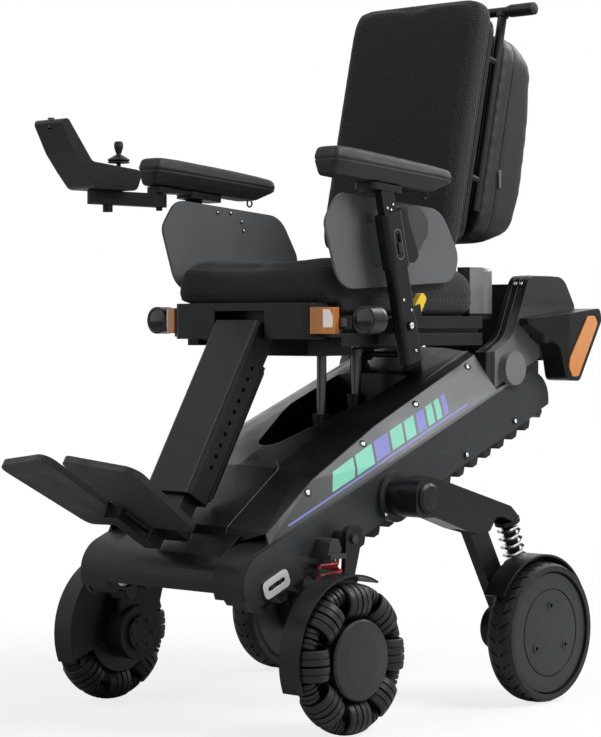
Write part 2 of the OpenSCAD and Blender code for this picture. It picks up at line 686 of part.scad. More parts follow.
module rear_disc_right() { rear_disc(-1); }

module seat_frame() {
  z0 = rail_top_z - 53;
  rail_end = seat_l + 54;
  y0 = min(440, recline_y - 60);
  color("#232528") place() difference() {
    union() {
      pair() {
        difference() {
          box(rail_x - 28, rail_x, 98, rail_end, z0, rail_top_z);
          box(rail_x - 5, rail_x + 1, 90, rail_end + 5, z0 + 22, z0 + 31);
          box(rail_x - 11, rail_x - 4.9, 90, rail_end + 5, z0 + 17, z0 + 36);
        }
        // Bracket and pivot pin of the armrest
        box(rail_x - 12, rail_x + 12, flip_y - 30, flip_y + 30, flip_z - 32, flip_z + 14);
        xcyl(14, rail_x + 8, arm_x - post_w / 2 - 1, flip_y, flip_z);
        xcyl(8, rail_x + 8, arm_x + post_w / 2 + 3, flip_y, flip_z);
        // Recline brackets with the recline motor
        across(100, 112)
          polygon(rounded([[y0, z0 + 12], [recline_y, z0 + 12], [recline_y + 120, recline_z - 29],
          [recline_y + 120, recline_z - 5], [recline_y + 20, recline_z + 15], [recline_y, recline_z + 23],
          [recline_y - 18, recline_z + 15], [recline_y - 26, rail_top_z - 2], [y0, rail_top_z - 5]],
          [0, 10, 8, 8, 12, 16, 12, 6, 0]));
        // Recline motor with its gear case
        box(98, 128, recline_y + 36, recline_y + 78, recline_z - 42, recline_z + 64);
        translate([104, recline_y + 98, recline_z - 35]) cylinder(r = 23, h = 92);
        translate([104, recline_y + 98, recline_z + 57]) cylinder(r1 = 23, r2 = 17, h = 6);
      }
      box(-rail_x + 27, rail_x - 27, 104, 128, z0 + 8, z0 + 40);
      for (y = [lift_y[0], lift_y[1]]) box(-rail_x + 27, rail_x - 27, y - 16, y + 16, z0 + 8, z0 + 40);
      box(-rail_x + 27, rail_x - 27, tilt_y, tilt_y + 28, z0 + 12, z0 + 44);
      // Ears and pin of the tilt hinge
      pair() across(44, 58)
        polygon(rounded([[tilt_y - 14, tilt_z - 12], [tilt_y + 16, tilt_z - 12], [tilt_y + 22, z0 + 14],
          [tilt_y, z0 + 20], [tilt_y - 16, z0 + 8]], [10, 10, 0, 0, 0]));
      xcyl(6, -78, 78, tilt_y, tilt_z);
      // Electronics box
      translate([0, 177, z0 - 18]) linear_extrude(30) rrect(200, 114, 12);
    }
    for (x = [-120, 78]) xcyl(7 + run, x, x + 42, recline_y, recline_z);
  }
}

module front_bar() {
  z0 = rail_top_z - 41;
  color("#191a1c") place() difference() {
    union() {
      translate([0, 0, z0])
        linear_extrude(64)
          polygon(rounded([[-165, 38], [165, 38], [165, 97.5], [-165, 97.5]], [14, 14, 4, 4]));
      pair() {
        // Corner block behind the lamp
        box(164, 190, 66, 97.5, z0 + 4, z0 + 38);
        // Headlamp pod on its short arm
        box(189, 232, 76, 96, z0 + 18, z0 + 40);
        translate([253, 124, z0 + 34]) rotate([90, 0, 0]) rotate_extrude()
          polygon([[0, 0], [17, 0], [24, 6], [25, 14], [25, 43], [21, 43], [18, 39], [0, 39]]);
      }
    }
    // Recess of the legrest column, and its pivot bores
    box(-column_w / 2 - 6, column_w / 2 + 6, 30, 84, z0 - 14, z0 + 50);
    xcyl(7 + run, -90, 90, rest_y, rest_z);
  }
}
module corner_lamps() {
  color("#e8a33a") place() pair() translate([0, 0, rail_top_z - 31])
    linear_extrude(46) polygon(rounded([[165.3, 40], [188, 44], [204, 62], [205, 75.6], [190.4, 75.6],
      [190.4, 65.6], [165.3, 65.6]],
      [2, 12, 12, 4, 1, 1, 1]));
}
module seat_cushion() {
  color("#2f3136") place() difference() {
    translate([0, 51 + seat_l / 2, rail_top_z + seat_gap])
      padding(seat_w, seat_l, seat_h, 7, seat_saddle, 12, 52, 0, soft_edge);
    // Step where the cushion lies on the front bar
    box(-250, 250, 0, 98.2, rail_top_z - 20, rail_top_z + 23 + seat_gap);
    // Cut-out between the back's legs
    translate([0, 51 + seat_l, rail_top_z - 20]) linear_extrude(seat_h + 60) rrect(240, 52, 10);
  }
}

module in_back() { translate([0, recline_y, recline_z]) rotate([-back_tilt, 0, 0]) children(); }
module back_frame() {
  color("#202225") place() in_back() difference() {
    union() {
      // Shell behind the cushion
      translate([0, -36, 322]) rotate([90, 0, 0]) linear_extrude(11) rrect(back_w - 26, 456, 40);
      pair() {
        // Legs down to the recline pivot
        across(82, 96) polygon(rounded([[-47, 100], [-37, 100], [-37, 300], [-14, 300], [16, 40], [16,
          -16], [-16, -16],
          [-20, 40]], [0, 0, 0, 10, 20, 15, 15, 20]));
        xcyl(7, 90, 118, 0, 0);
        // Upright tubes on stand-offs
        translate([128, 10, 176]) cylinder(r = 9, h = 385);
        for (z = [236, 470]) translate([128, -40, z]) rotate([-90, 0, 0]) cylinder(r = 7, h = 50);
      }
    }
  }
}
module back_cushion() {
  color("#303236") place() in_back() translate([0, -47.4, 322]) rotate([90, 0, 0])
    padding(back_w, 500, back_t, 4, 0, 10);
}
module push_bar() {
  color("#1a1b1d") place() in_back() translate([0, 10, 572.5]) {
    rotate([0, 90, 0]) cylinder(r = bar_r - 2, h = 2 * bar_half - 118, center = true);
    pair() {
      translate([bar_half - 60, 0, 0]) rotate([0, 90, 0]) cylinder(r = bar_r, h = 60);
      translate([128, 0, -11]) cylinder(r = 12, h = 11);
    }
  }
}
module storage_case() {
  color("#26282b") place() in_back() intersection() {
    across(-140, 140) polygon(rounded([[19.3, 126], [66, 124], [122, 166], [137, 250], [133, 370],
      [116, 488], [66, 538], [19.3, 538]], [10, 36, 50, 80, 80, 50, 30, 8]));
    translate([0, 200, 332]) rotate([90, 0, 0]) linear_extrude(240) rrect(276, 416, 54);
  }
}

module in_leg() { translate([0, rest_y, rest_z]) rotate([-leg_tilt, 0, 0]) children(); }
col_front = -31;
slider_w = column_w - 34;
slider_d = column_d - 20;
module leg_column() {
  mid = col_front + column_d / 2;
  color("#1d1f21") place() in_leg() {
    difference() {
      translate([0, mid, -column_len]) linear_extrude(column_len + 12) rrect(column_w, column_d, 9);
      translate([0, mid, -column_len - 1]) linear_extrude(column_len - 40)
        square([slider_w + 2 * slide_gap, slider_d + 2 * slide_gap], center = true);
      // Row of adjusting holes on both flanks
      for (i = [0:9], s = [-1, 1]) xcyl(4, s > 0 ? column_w / 2 - 5 : -column_w / 2 - 1,
        s > 0 ? column_w / 2 + 1 : -column_w / 2 + 5, mid, -70 - 22 * i);
    }
    xcyl(7, -78, 78, 0, 0);
    // Leg actuator behind the column
    translate([20, col_front + column_d + 16, -300]) cylinder(r = 15, h = 250);
    box(2, 38, col_front + column_d - 1, col_front + column_d + 17, -312, -286);
    box(2, 38, col_front + column_d - 1, col_front + column_d + 17, -70, -44);
  }
}
module foot_bracket() {
  mid = col_front + column_d / 2;
  color("#2a2c2f") place() in_leg() {
    translate([0, mid, -396]) linear_extrude(200) square([slider_w, slider_d], center = true);
    // Shoe with two cheeks below the column
    translate([0, mid - 4, -398]) linear_extrude(26) rrect(96, 60, 10);
    box(-16, 16, -122, -8, -430, -420);
    box(-18, 18, -36, -8, -430, -390);
    // Hinge tabs and pins of the footplates
    for (y = [-122, -46]) box(-18, 18, y, y + 8, -430, foot_z + 11);
    for (s = [-1, 1]) translate([12 * s, -120, foot_z + 5]) rotate([-90, 0, 0]) cylinder(r = 4, h = 80);
  }
}
module footplate(s) {
  color("#2d2f32") place() in_leg() side(s) difference() {
    union() {
      translate([0, 0, foot_z]) linear_extrude(foot_t)
        polygon(rounded([[10, -56], [131, -48], [168, -256], [16, -292], [12.5, -124.5], [22, -124.5],
          [22, -112], [10, -112]], [2, 18, 26, 20, 1, 1, 1, 2]));
      translate([12, -112, foot_z + 5]) rotate([-90, 0, 0]) cylinder(r = 8, h = 64);
    }
    translate([12, -130, foot_z + 5]) rotate([-90, 0, 0]) cylinder(r = 4 + run, h = 100);
    // Grip grooves in the tread
    for (i = [0:5]) translate([66 + 7 * i, -90 - 30 * i, foot_z + foot_t - 2.5])
      linear_extrude(10) rotate(-10) rrect(60, 8, 3.9);
  }
}
module footplate_left() { footplate(1); }
module footplate_right() { footplate(-1); }

module in_arm() { translate([arm_x, flip_y, flip_z]) rotate([arm_tilt, 0, 0]) children(); }
module arm_post(s) {
  color("#1f2124") place() side(s) in_arm() difference() {
    union() {
      translate([0, 0, -66]) linear_extrude(190) rrect(post_w, post_d, 7);
      translate([0, 0, 104]) linear_extrude(98) rrect(sleeve_w, sleeve_d, 9);
      // Lock handle behind the sleeve
      across(-13, 8)
        polygon(rounded([[18, 108], [42, 104], [58, 112], [40, 204], [18, 202]], [0, 6, 10, 8, 0]));
      across(-11, -4) polygon(rounded([[30, 122], [74, 118], [106, 142], [112, 168], [92, 196], [36, 204]],
        [0, 14, 18, 18, 20, 0]));
      // Ears of the release lever
      for (x = [-10, 6]) box(x, x + 4, post_d / 2 - 1, post_d / 2 + 16, lever_z - 10, lever_z + 10);
      xcyl(3, -8, 8, post_d / 2 + 10, lever_z);
    }
    translate([0, 0, 62])
      linear_extrude(200) square([tube_w + 2 * slide_gap, tube_d + 2 * slide_gap], center = true);
    xcyl(8 + run, -40, 40, 0, 0);
    // Pocket of the height button
    box(sleeve_w / 2 - 3, sleeve_w / 2 + 1, -5 - slide_gap, 5 + slide_gap, 130, 164);
  }
}
module arm_post_left() { arm_post(1); }
module arm_post_right() { arm_post(-1); }
module height_button(s) {
  color("#6c7075") place() side(s) in_arm() {
    box(sleeve_w / 2 - 2.6, sleeve_w / 2 + 3, -5, 5, 131, 149);
    for (z = [134, 140, 146]) box(sleeve_w / 2 + 2, sleeve_w / 2 + 4, -4.5, 4.5, z - 1, z + 1);
  }
}
module height_button_left() { height_button(1); }
module height_button_right() { height_button(-1); }
module release_lever(s) {
  color("#e9c21d") place() side(s) in_arm() difference() {
    across(-5.6, 5.6) translate([post_d / 2 + 10, lever_z])
      polygon(rounded([[-6, -8], [5, -12], [32, 15], [22, 29], [-7, 8]], [4, 5, 7, 7, 4]));
    xcyl(3 + run, -10, 10, post_d / 2 + 10, lever_z);
  }
}
module release_lever_left() { release_lever(1); }
module release_lever_right() { release_lever(-1); }

module side_guard(s) {
  inner = arm_x - sleeve_w / 2;
  color("#6f7276") place() side(s) {
    translate([0, 0, arm_up]) across(guard_x, guard_x + guard_t)
      polygon(rounded([[40, 868], [76, 920], [358, 898], [410, 818], [398, 768], [80, 750]],
      [26, 40, 60, 40, 40, 50]));
    in_arm() box(guard_x + guard_t - 0.5 - arm_x, inner - seat_gap - arm_x, -18, 18, 112, 190);
  }
}
module side_guard_left() { side_guard(1); }
module side_guard_right() { side_guard(-1); }

module in_pad() { translate([pad_x, pad_y, pad_z]) rotate([-pad_slope, 0, 0]) children(); }
module arm_tube(s) {
  color("#26282b") place() side(s) difference() {
    union() {
      in_arm() translate([0, 0, 92]) linear_extrude(152) square([tube_w, tube_d], center = true);
      // Saddle under the pad
      in_pad() translate([4, 146, -12]) linear_extrude(18) rrect(48, 84, 12);
      // Clamp and vertical pin of the control arm, on the right only
      if (s < 0) {
        box(pad_x - 17, pad_x + 17, swing_y - 14, pad_y + 130, pad_z - 14, pad_z + 2);
        translate([pad_x, swing_y, pad_z - 46]) cylinder(r = 6, h = 36);
      }
    }
    in_pad() box(-60, 60, -40, pad_len, -seat_gap, 60);
  }
}
module arm_tube_left() { arm_tube(1); }
module arm_tube_right() { arm_tube(-1); }
module arm_pad(s) {
  color("#35373a") place() side(s) in_pad() difference() {
    translate([0, pad_len / 2, 0]) padding(pad_w, pad_len, pad_h, 3, 0, 7, 40, 5, pad_edge);
    // Sloping rear end of the underside
    translate([-60, pad_len - 58, 0]) rotate([24, 0, 0]) translate([0, 0, -60]) cube([120, 120, 60]);
  }
}
module arm_pad_left() { arm_pad(1); }
module arm_pad_right() { arm_pad(-1); }

module controller_arm() {
  color("#2c2e31") place() translate([0, 0, arm_up]) difference() {
    union() {
      translate([ctrl_x, 0, 905]) linear_extrude(24.7) {
        translate([0, swing_y]) circle(14);
        translate([-11, -112]) square([22, 164]);
        translate([0, -112]) circle(11);
      }
      translate([ctrl_x, -77, 892]) cylinder(r = 9, h = 14);
    }
    translate([ctrl_x, swing_y, 890]) cylinder(r = 6 + run, h = 60);
  }
}
module controller() {
  color("#1a1b1d") place() translate([0, 0, arm_up]) difference() {
    across(ctrl_x - box_w / 2, ctrl_x + box_w / 2)
      polygon(rounded([[-24, 967], [-147, 978], [-204, 1050], [-224, 1048],
      [-192, 991], [-166, 960], [-138, 930], [-38, 930]], [10, 14, 8, 8, 40, 30, 20, 16]));
    // Hollow of the joystick
    translate([ctrl_x, stick_y, 942]) cylinder(r = 16.4, h = 80);
    // Pocket of the power button
    translate([ctrl_x, -212, 1032]) cylinder(r = 6 + slide_gap, h = 40);
  }
}
module joystick_gimbal() {
  color("#8a8d92") place() translate([0, 0, arm_up]) translate([ctrl_x, stick_y, 956]) difference() {
    union() {
      rotate_extrude() polygon([[9, -4], [15, -4], [15, 4], [9, 4]]);
      for (a = [0, 180]) rotate([0, 0, a]) translate([10, 0, 0]) rotate([0, 90, 0]) cylinder(r = 2, h = 6);
    }
    rotate([90, 0, 0]) cylinder(r = 2 + run, h = 40, center = true);
  }
}
module joystick() {
  color("#232527") place() translate([0, 0, arm_up]) translate([ctrl_x, stick_y, 956]) {
    rotate([90, 0, 0]) cylinder(r = 2, h = 29, center = true);
    sphere(r = 5.5);
    cylinder(r = 4, h = knob_z - 12 - 956);
    translate([0, 0, knob_z - 956]) rotate_extrude()
      polygon([[0, 0], [knob_r - 2.5, 0], [knob_r - 0.6, -2.4], [knob_r, -9], [knob_r - 2.4, -18],
        [4.4, -22], [0, -22]]);
  }
}
module joystick_boot() {
  color("#2b2d2f") place() translate([0, 0, arm_up]) translate([ctrl_x, stick_y, 0]) rotate_extrude()
    polygon([[4 + run, 996.5], [5.5, 996.5], [8, 994.5], [19, 988.4], [20.4, 986.4], [18.6, 984.8],
      [17, 984.4], [20, 983], [20.3, 981.6], [17.4, 980.8], [4 + run, 983.5]]);
}
module power_button() {
  color("#caced3") place() translate([0, 0, arm_up]) translate([ctrl_x, -212, 1035]) cylinder(r = 6, h = 17);
}

body_shell();
side_panels();
track_frames();
track_belts();
rear_hood();
tail_lamps();
tail_lenses();
battery_pack();
lift_tubes();
drive_axle();
idler_axle();
front_arm_left();
front_arm_right();
front_spring_left();
front_spring_right();
front_hub_left();
front_hub_right();
front_rollers_left();
front_rollers_right();
rear_arms();
rear_leg_left();
rear_leg_right();
rear_spring_left();
rear_spring_right();
rear_tyre_left();
rear_tyre_right();
rear_disc_left();
rear_disc_right();
lift_rod_front();
lift_rod_rear();
seat_frame();
front_bar();
corner_lamps();
seat_cushion();
back_frame();
back_cushion();
push_bar();
storage_case();
leg_column();
foot_bracket();
footplate_left();
footplate_right();
arm_post_left();
arm_post_right();
side_guard_left();
side_guard_right();
arm_tube_left();
arm_tube_right();
arm_pad_left();
arm_pad_right();
release_lever_left();
release_lever_right();
height_button_left();
height_button_right();
controller_arm();
controller();
joystick_gimbal();
joystick();
joystick_boot();
power_button();
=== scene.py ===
"""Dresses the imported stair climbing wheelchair: finishes, cushions, trim, fasteners and the studio."""

import json
import math

import bmesh
import bpy
import numpy as np
from bpy.props import FloatProperty, FloatVectorProperty, PointerProperty
from bpy.types import Operator, Panel, PropertyGroup
from mathutils import Matrix, Vector
from mathutils.bvhtree import BVHTree


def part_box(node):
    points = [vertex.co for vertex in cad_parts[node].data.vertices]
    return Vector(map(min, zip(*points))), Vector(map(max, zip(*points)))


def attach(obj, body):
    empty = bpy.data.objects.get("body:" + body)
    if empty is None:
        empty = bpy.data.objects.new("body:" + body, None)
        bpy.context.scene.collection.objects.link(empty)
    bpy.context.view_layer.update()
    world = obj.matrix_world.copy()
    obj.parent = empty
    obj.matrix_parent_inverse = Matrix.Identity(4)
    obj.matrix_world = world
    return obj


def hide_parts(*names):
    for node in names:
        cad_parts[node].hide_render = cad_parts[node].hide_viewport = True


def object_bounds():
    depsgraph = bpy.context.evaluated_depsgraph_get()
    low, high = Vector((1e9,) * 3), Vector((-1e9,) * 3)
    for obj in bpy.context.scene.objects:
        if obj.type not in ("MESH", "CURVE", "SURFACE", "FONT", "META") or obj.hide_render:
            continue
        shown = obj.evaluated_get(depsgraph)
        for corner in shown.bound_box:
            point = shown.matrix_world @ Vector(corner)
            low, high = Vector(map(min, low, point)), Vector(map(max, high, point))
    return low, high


bl_info = {
    "name": "Stair climbing wheelchair",
    "version": (1, 0, 0),
    "blender": (4, 5, 0),
    "location": "3D View > Sidebar > Wheelchair",
    "description": "Finishes, cushions, trim and studio for the packed wheelchair",
    "category": "Object",
}

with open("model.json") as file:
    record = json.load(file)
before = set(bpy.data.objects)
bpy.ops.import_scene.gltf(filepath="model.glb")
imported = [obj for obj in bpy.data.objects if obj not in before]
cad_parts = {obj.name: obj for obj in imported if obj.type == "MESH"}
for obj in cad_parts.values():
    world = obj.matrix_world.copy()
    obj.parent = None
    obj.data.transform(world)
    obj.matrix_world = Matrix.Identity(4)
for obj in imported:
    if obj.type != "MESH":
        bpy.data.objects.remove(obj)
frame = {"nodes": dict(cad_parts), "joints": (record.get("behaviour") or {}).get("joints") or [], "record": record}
CAD_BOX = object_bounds()
NODES = frame["nodes"]
JOINTS = {joint["name"]: joint for joint in frame["joints"]}
SIDES = (("left", 1), ("right", -1))


def joint_place(name):
    """Where a joint turns, in the row frame."""
    return Vector(JOINTS[name]["pos_m"])


IDLER = joint_place("track_idler_spin")
DRIVE = joint_place("track_drive_spin")
SLOPE = math.atan2(DRIVE.z - IDLER.z, DRIVE.y - IDLER.y)
ALONG = Vector((0, math.cos(SLOPE), math.sin(SLOPE)))
ACROSS = Vector((0, -math.sin(SLOPE), math.cos(SLOPE)))
UP = Vector((0, 0, 1))

# Leans of the back, the armrest posts and the arm pads
BACK_LEAN = math.radians(13)
ARM_LEAN = math.radians(13.8)
PAD_LEAN = math.radians(4.4)

# Lines that look for an outer face start this far out or this high
OUTSIDE_X = 0.4
ABOVE_Z = 1.2


# Settings a user would change


class ChairSizes(PropertyGroup):
    """Sizes of the dressing, in metres."""

    cushion_voxel: FloatProperty(
        name="Cushion voxel", description="Mesh size of the simulated cushions",
        default=0.0065, subtype="DISTANCE", unit="LENGTH")
    cushion_draw_in: FloatProperty(
        name="Draw in", description="How far a cushion starts inside its room before it swells",
        default=0.003, subtype="DISTANCE", unit="LENGTH")
    cushion_swell: FloatProperty(
        name="Swell limit", description="Farthest a point of a cushion may move when it swells",
        default=0.008, subtype="DISTANCE", unit="LENGTH")
    piping: FloatProperty(
        name="Piping", description="Radius of the piping on the back cushion",
        default=0.00132, subtype="DISTANCE", unit="LENGTH")
    seam: FloatProperty(
        name="Seam", description="Radius of the fine seam lines on the mouldings",
        default=0.0007, subtype="DISTANCE", unit="LENGTH")
    screw: FloatProperty(
        name="Screw", description="Radius of a panel screw's head",
        default=0.0042, subtype="DISTANCE", unit="LENGTH")
    knit_cell: FloatProperty(
        name="Knit cell", description="Spacing of the holes in the knit cover",
        default=0.0052, subtype="DISTANCE", unit="LENGTH")


class ChairColours(PropertyGroup):
    """Colours of the finishes."""

    moulding: FloatVectorProperty(
        name="Moulding", description="Black body mouldings",
        default=(0.0075, 0.0077, 0.0082), subtype="COLOR", size=3, min=0, max=1)
    panel: FloatVectorProperty(
        name="Side panel", description="Grey of the side panels",
        default=(0.15, 0.152, 0.158), subtype="COLOR", size=3, min=0, max=1)
    stripe_one: FloatVectorProperty(
        name="First stripe", description="Green of the side bars",
        default=(0.2, 0.58, 0.44), subtype="COLOR", size=3, min=0, max=1)
    stripe_two: FloatVectorProperty(
        name="Second stripe", description="Violet of the side bars",
        default=(0.2, 0.22, 0.55), subtype="COLOR", size=3, min=0, max=1)
    plate: FloatVectorProperty(
        name="Track plate", description="Grey of the track plates",
        default=(0.036, 0.037, 0.039), subtype="COLOR", size=3, min=0, max=1)
    guard: FloatVectorProperty(
        name="Side guard", description="Grey of the side guards",
        default=(0.1, 0.103, 0.107), subtype="COLOR", size=3, min=0, max=1)
    knit: FloatVectorProperty(
        name="Knit", description="Charcoal of the knit covers",
        default=(0.01365, 0.01391, 0.01495), subtype="COLOR", size=3, min=0, max=1)
    amber: FloatVectorProperty(
        name="Amber", description="Corner lamps",
        default=(0.55, 0.2, 0.035), subtype="COLOR", size=3, min=0, max=1)
    reflector: FloatVectorProperty(
        name="Reflector", description="Tail reflectors",
        default=(0.7, 0.27, 0.07), subtype="COLOR", size=3, min=0, max=1)
    lever: FloatVectorProperty(
        name="Lever", description="Yellow release levers",
        default=(0.75, 0.5, 0.04), subtype="COLOR", size=3, min=0, max=1)


class StudioSettings(PropertyGroup):
    """Camera and light of the studio."""

    camera_place: FloatVectorProperty(
        name="Camera", description="Place of the camera", default=(2.8581, -3.152, 0.687),
        subtype="TRANSLATION", unit="LENGTH", size=3)
    camera_target: FloatVectorProperty(
        name="Target", description="Point the camera looks at", default=(0.0, 0.0046, 0.61),
        subtype="TRANSLATION", unit="LENGTH", size=3)
    lens: FloatProperty(
        name="Lens", description="Focal length in millimetres", default=114.1, min=20, max=300)
    key: FloatProperty(
        name="Key light", description="Power that each lamp takes its share of",
        default=130.0, subtype="POWER")
    room: FloatProperty(
        name="Room light", description="Strength of the even light all round", default=0.12, min=0, max=2)


# Mesh helpers


def sizes():
    return bpy.context.scene.chair_sizes


def colours():
    return bpy.context.scene.chair_colours


def link(name, data, body, finish):
    """Puts a new piece in the scene, on its body, with its finish."""
    piece = bpy.data.objects.new(name, data)
    bpy.context.scene.collection.objects.link(piece)
    data.materials.append(finish)
    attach(piece, body)
    return piece


def mesh_from(name, builder, smooth=True):
    """A mesh filled by builder(bm)."""
    bm = bmesh.new()
    builder(bm)
    bmesh.ops.recalc_face_normals(bm, faces=bm.faces)
    mesh = bpy.data.meshes.new(name)
    bm.to_mesh(mesh)
    bm.free()
    if smooth:
        mesh.shade_smooth()
        mesh.set_sharp_from_angle(angle=math.radians(35))
    return mesh


def basis(place, outward):
    """A matrix whose Z axis is outward, at a place."""
    z = Vector(outward).normalized()
    x = UP.cross(z)
    if x.length < 1e-4:
        x = Vector((1, 0, 0))
    x.normalize()
    y = z.cross(x)
    turn = Matrix((x, y, z)).transposed().to_4x4()
    return Matrix.Translation(place) @ turn


def turned(bm, profile, matrix, steps=32, material=0):
    """Adds a solid of revolution: profile is (radius, height) pairs, turned about the matrix's Z axis."""
    rings = []
    for radius, height in profile:
        if radius < 1e-7:
            rings.append([bm.verts.new(matrix @ Vector((0, 0, height)))])
            continue
        ring = []
        for k in range(steps):
            angle = 2 * math.pi * k / steps
            rim = Vector((radius * math.cos(angle), radius * math.sin(angle), height))
            ring.append(bm.verts.new(matrix @ rim))
        rings.append(ring)
    for low, high in zip(rings, rings[1:]):
        for k in range(steps):
            n = k + 1
            corners = [low[k % len(low)], low[n % len(low)], high[n % len(high)], high[k % len(high)]]
            corners = list(dict.fromkeys(corners))
            if len(corners) > 2:
                bm.faces.new(corners).material_index = material


def prism(bm, outline, matrix, depth, bevel):
    """Adds a plate: a flat outline of the matrix's XY plane, raised by depth, with a bevelled rim."""
    base = [bm.verts.new(matrix @ Vector((x, y, 0))) for x, y in outline]
    middle = sum((Vector(p) for p in outline), Vector((0, 0))) / len(outline)
    levels = [base]
    for inset, height in ((0, depth - bevel), (bevel, depth)):
        ring = []
        for x, y in outline:
            out = Vector((x, y)) - middle
            p = middle + out * max(0.0, 1 - inset / max(out.length, 1e-6))
            ring.append(bm.verts.new(matrix @ Vector((p.x, p.y, height))))
        levels.append(ring)
    count = len(outline)
    for low, high in zip(levels, levels[1:]):
        for k in range(count):
            n = (k + 1) % count
            bm.faces.new((low[k], low[n], high[n], high[k]))
    bm.faces.new(levels[-1])
    bm.faces.new(list(reversed(base)))


def rounded_box(width, height, radius, steps=6):
    """Outline of a rectangle with round corners."""
    points = []
    for k, (i, j) in enumerate(((1, 1), (-1, 1), (-1, -1), (1, -1))):
        for s in range(steps + 1):
            angle = math.pi / 2 * (k + s / steps)
            points.append((i * (width / 2 - radius) + radius * math.cos(angle),
                           j * (height / 2 - radius) + radius * math.sin(angle)))
    return points


def wire(name, points, radius, body, finish, closed=False):
    """A round cord through points, as a smooth curve."""
    curve = bpy.data.curves.new(name, "CURVE")
    curve.dimensions = "3D"
    curve.bevel_depth = radius
    curve.bevel_resolution = 3
    curve.use_fill_caps = not closed
    spline = curve.splines.new("POLY")
    spline.points.add(len(points) - 1)
    for spot, p in zip(spline.points, points):
        spot.co = (p[0], p[1], p[2], 1)
    spline.use_cyclic_u = closed
    spline.use_smooth = True
    link(name, curve, body, finish)


SURFACES = {}


def surface(node):
    """A ray target for a CAD node at rest."""
    if node not in SURFACES:
        mesh = NODES[node].data
        corners = [v.co[:] for v in mesh.vertices]
        SURFACES[node] = BVHTree.FromPolygons(corners, [p.vertices[:] for p in mesh.polygons])
    return SURFACES[node]


def land(node, start, direction):
    """Place and outward normal where a line meets a CAD node."""
    place, normal, _, _ = surface(node).ray_cast(Vector(start), Vector(direction).normalized())
    if place is None:
        raise RuntimeError(f"no surface of {node} from {start}")
    if normal.dot(Vector(direction)) > 0:
        normal = -normal
    return place, normal


def on_track(along, across, x):
    """A point of the track's own frame: along the slope and above it."""
    p = Vector((0, IDLER.y, IDLER.z)) + ALONG * along + ACROSS * across
    p.x = x
    return p


def leaned(pivot, lean, x, y, z):
    """A point given in a frame that leans about X at a pivot."""
    turn = Matrix.Rotation(lean, 4, "X")
    p = turn @ Vector((0, y, z))
    return Vector((x, pivot.y + p.y, pivot.z + p.z))


def in_back(x, y, z):
    """A point behind and above the recline pivot, along the back."""
    return leaned(joint_place("back_recline"), -BACK_LEAN, x, y, z)


def in_arm(x, y, z):
    """A point behind and above the armrest pivot, along the post."""
    return leaned(joint_place("armrest_flip_left"), ARM_LEAN, x, y, z)


# Finishes


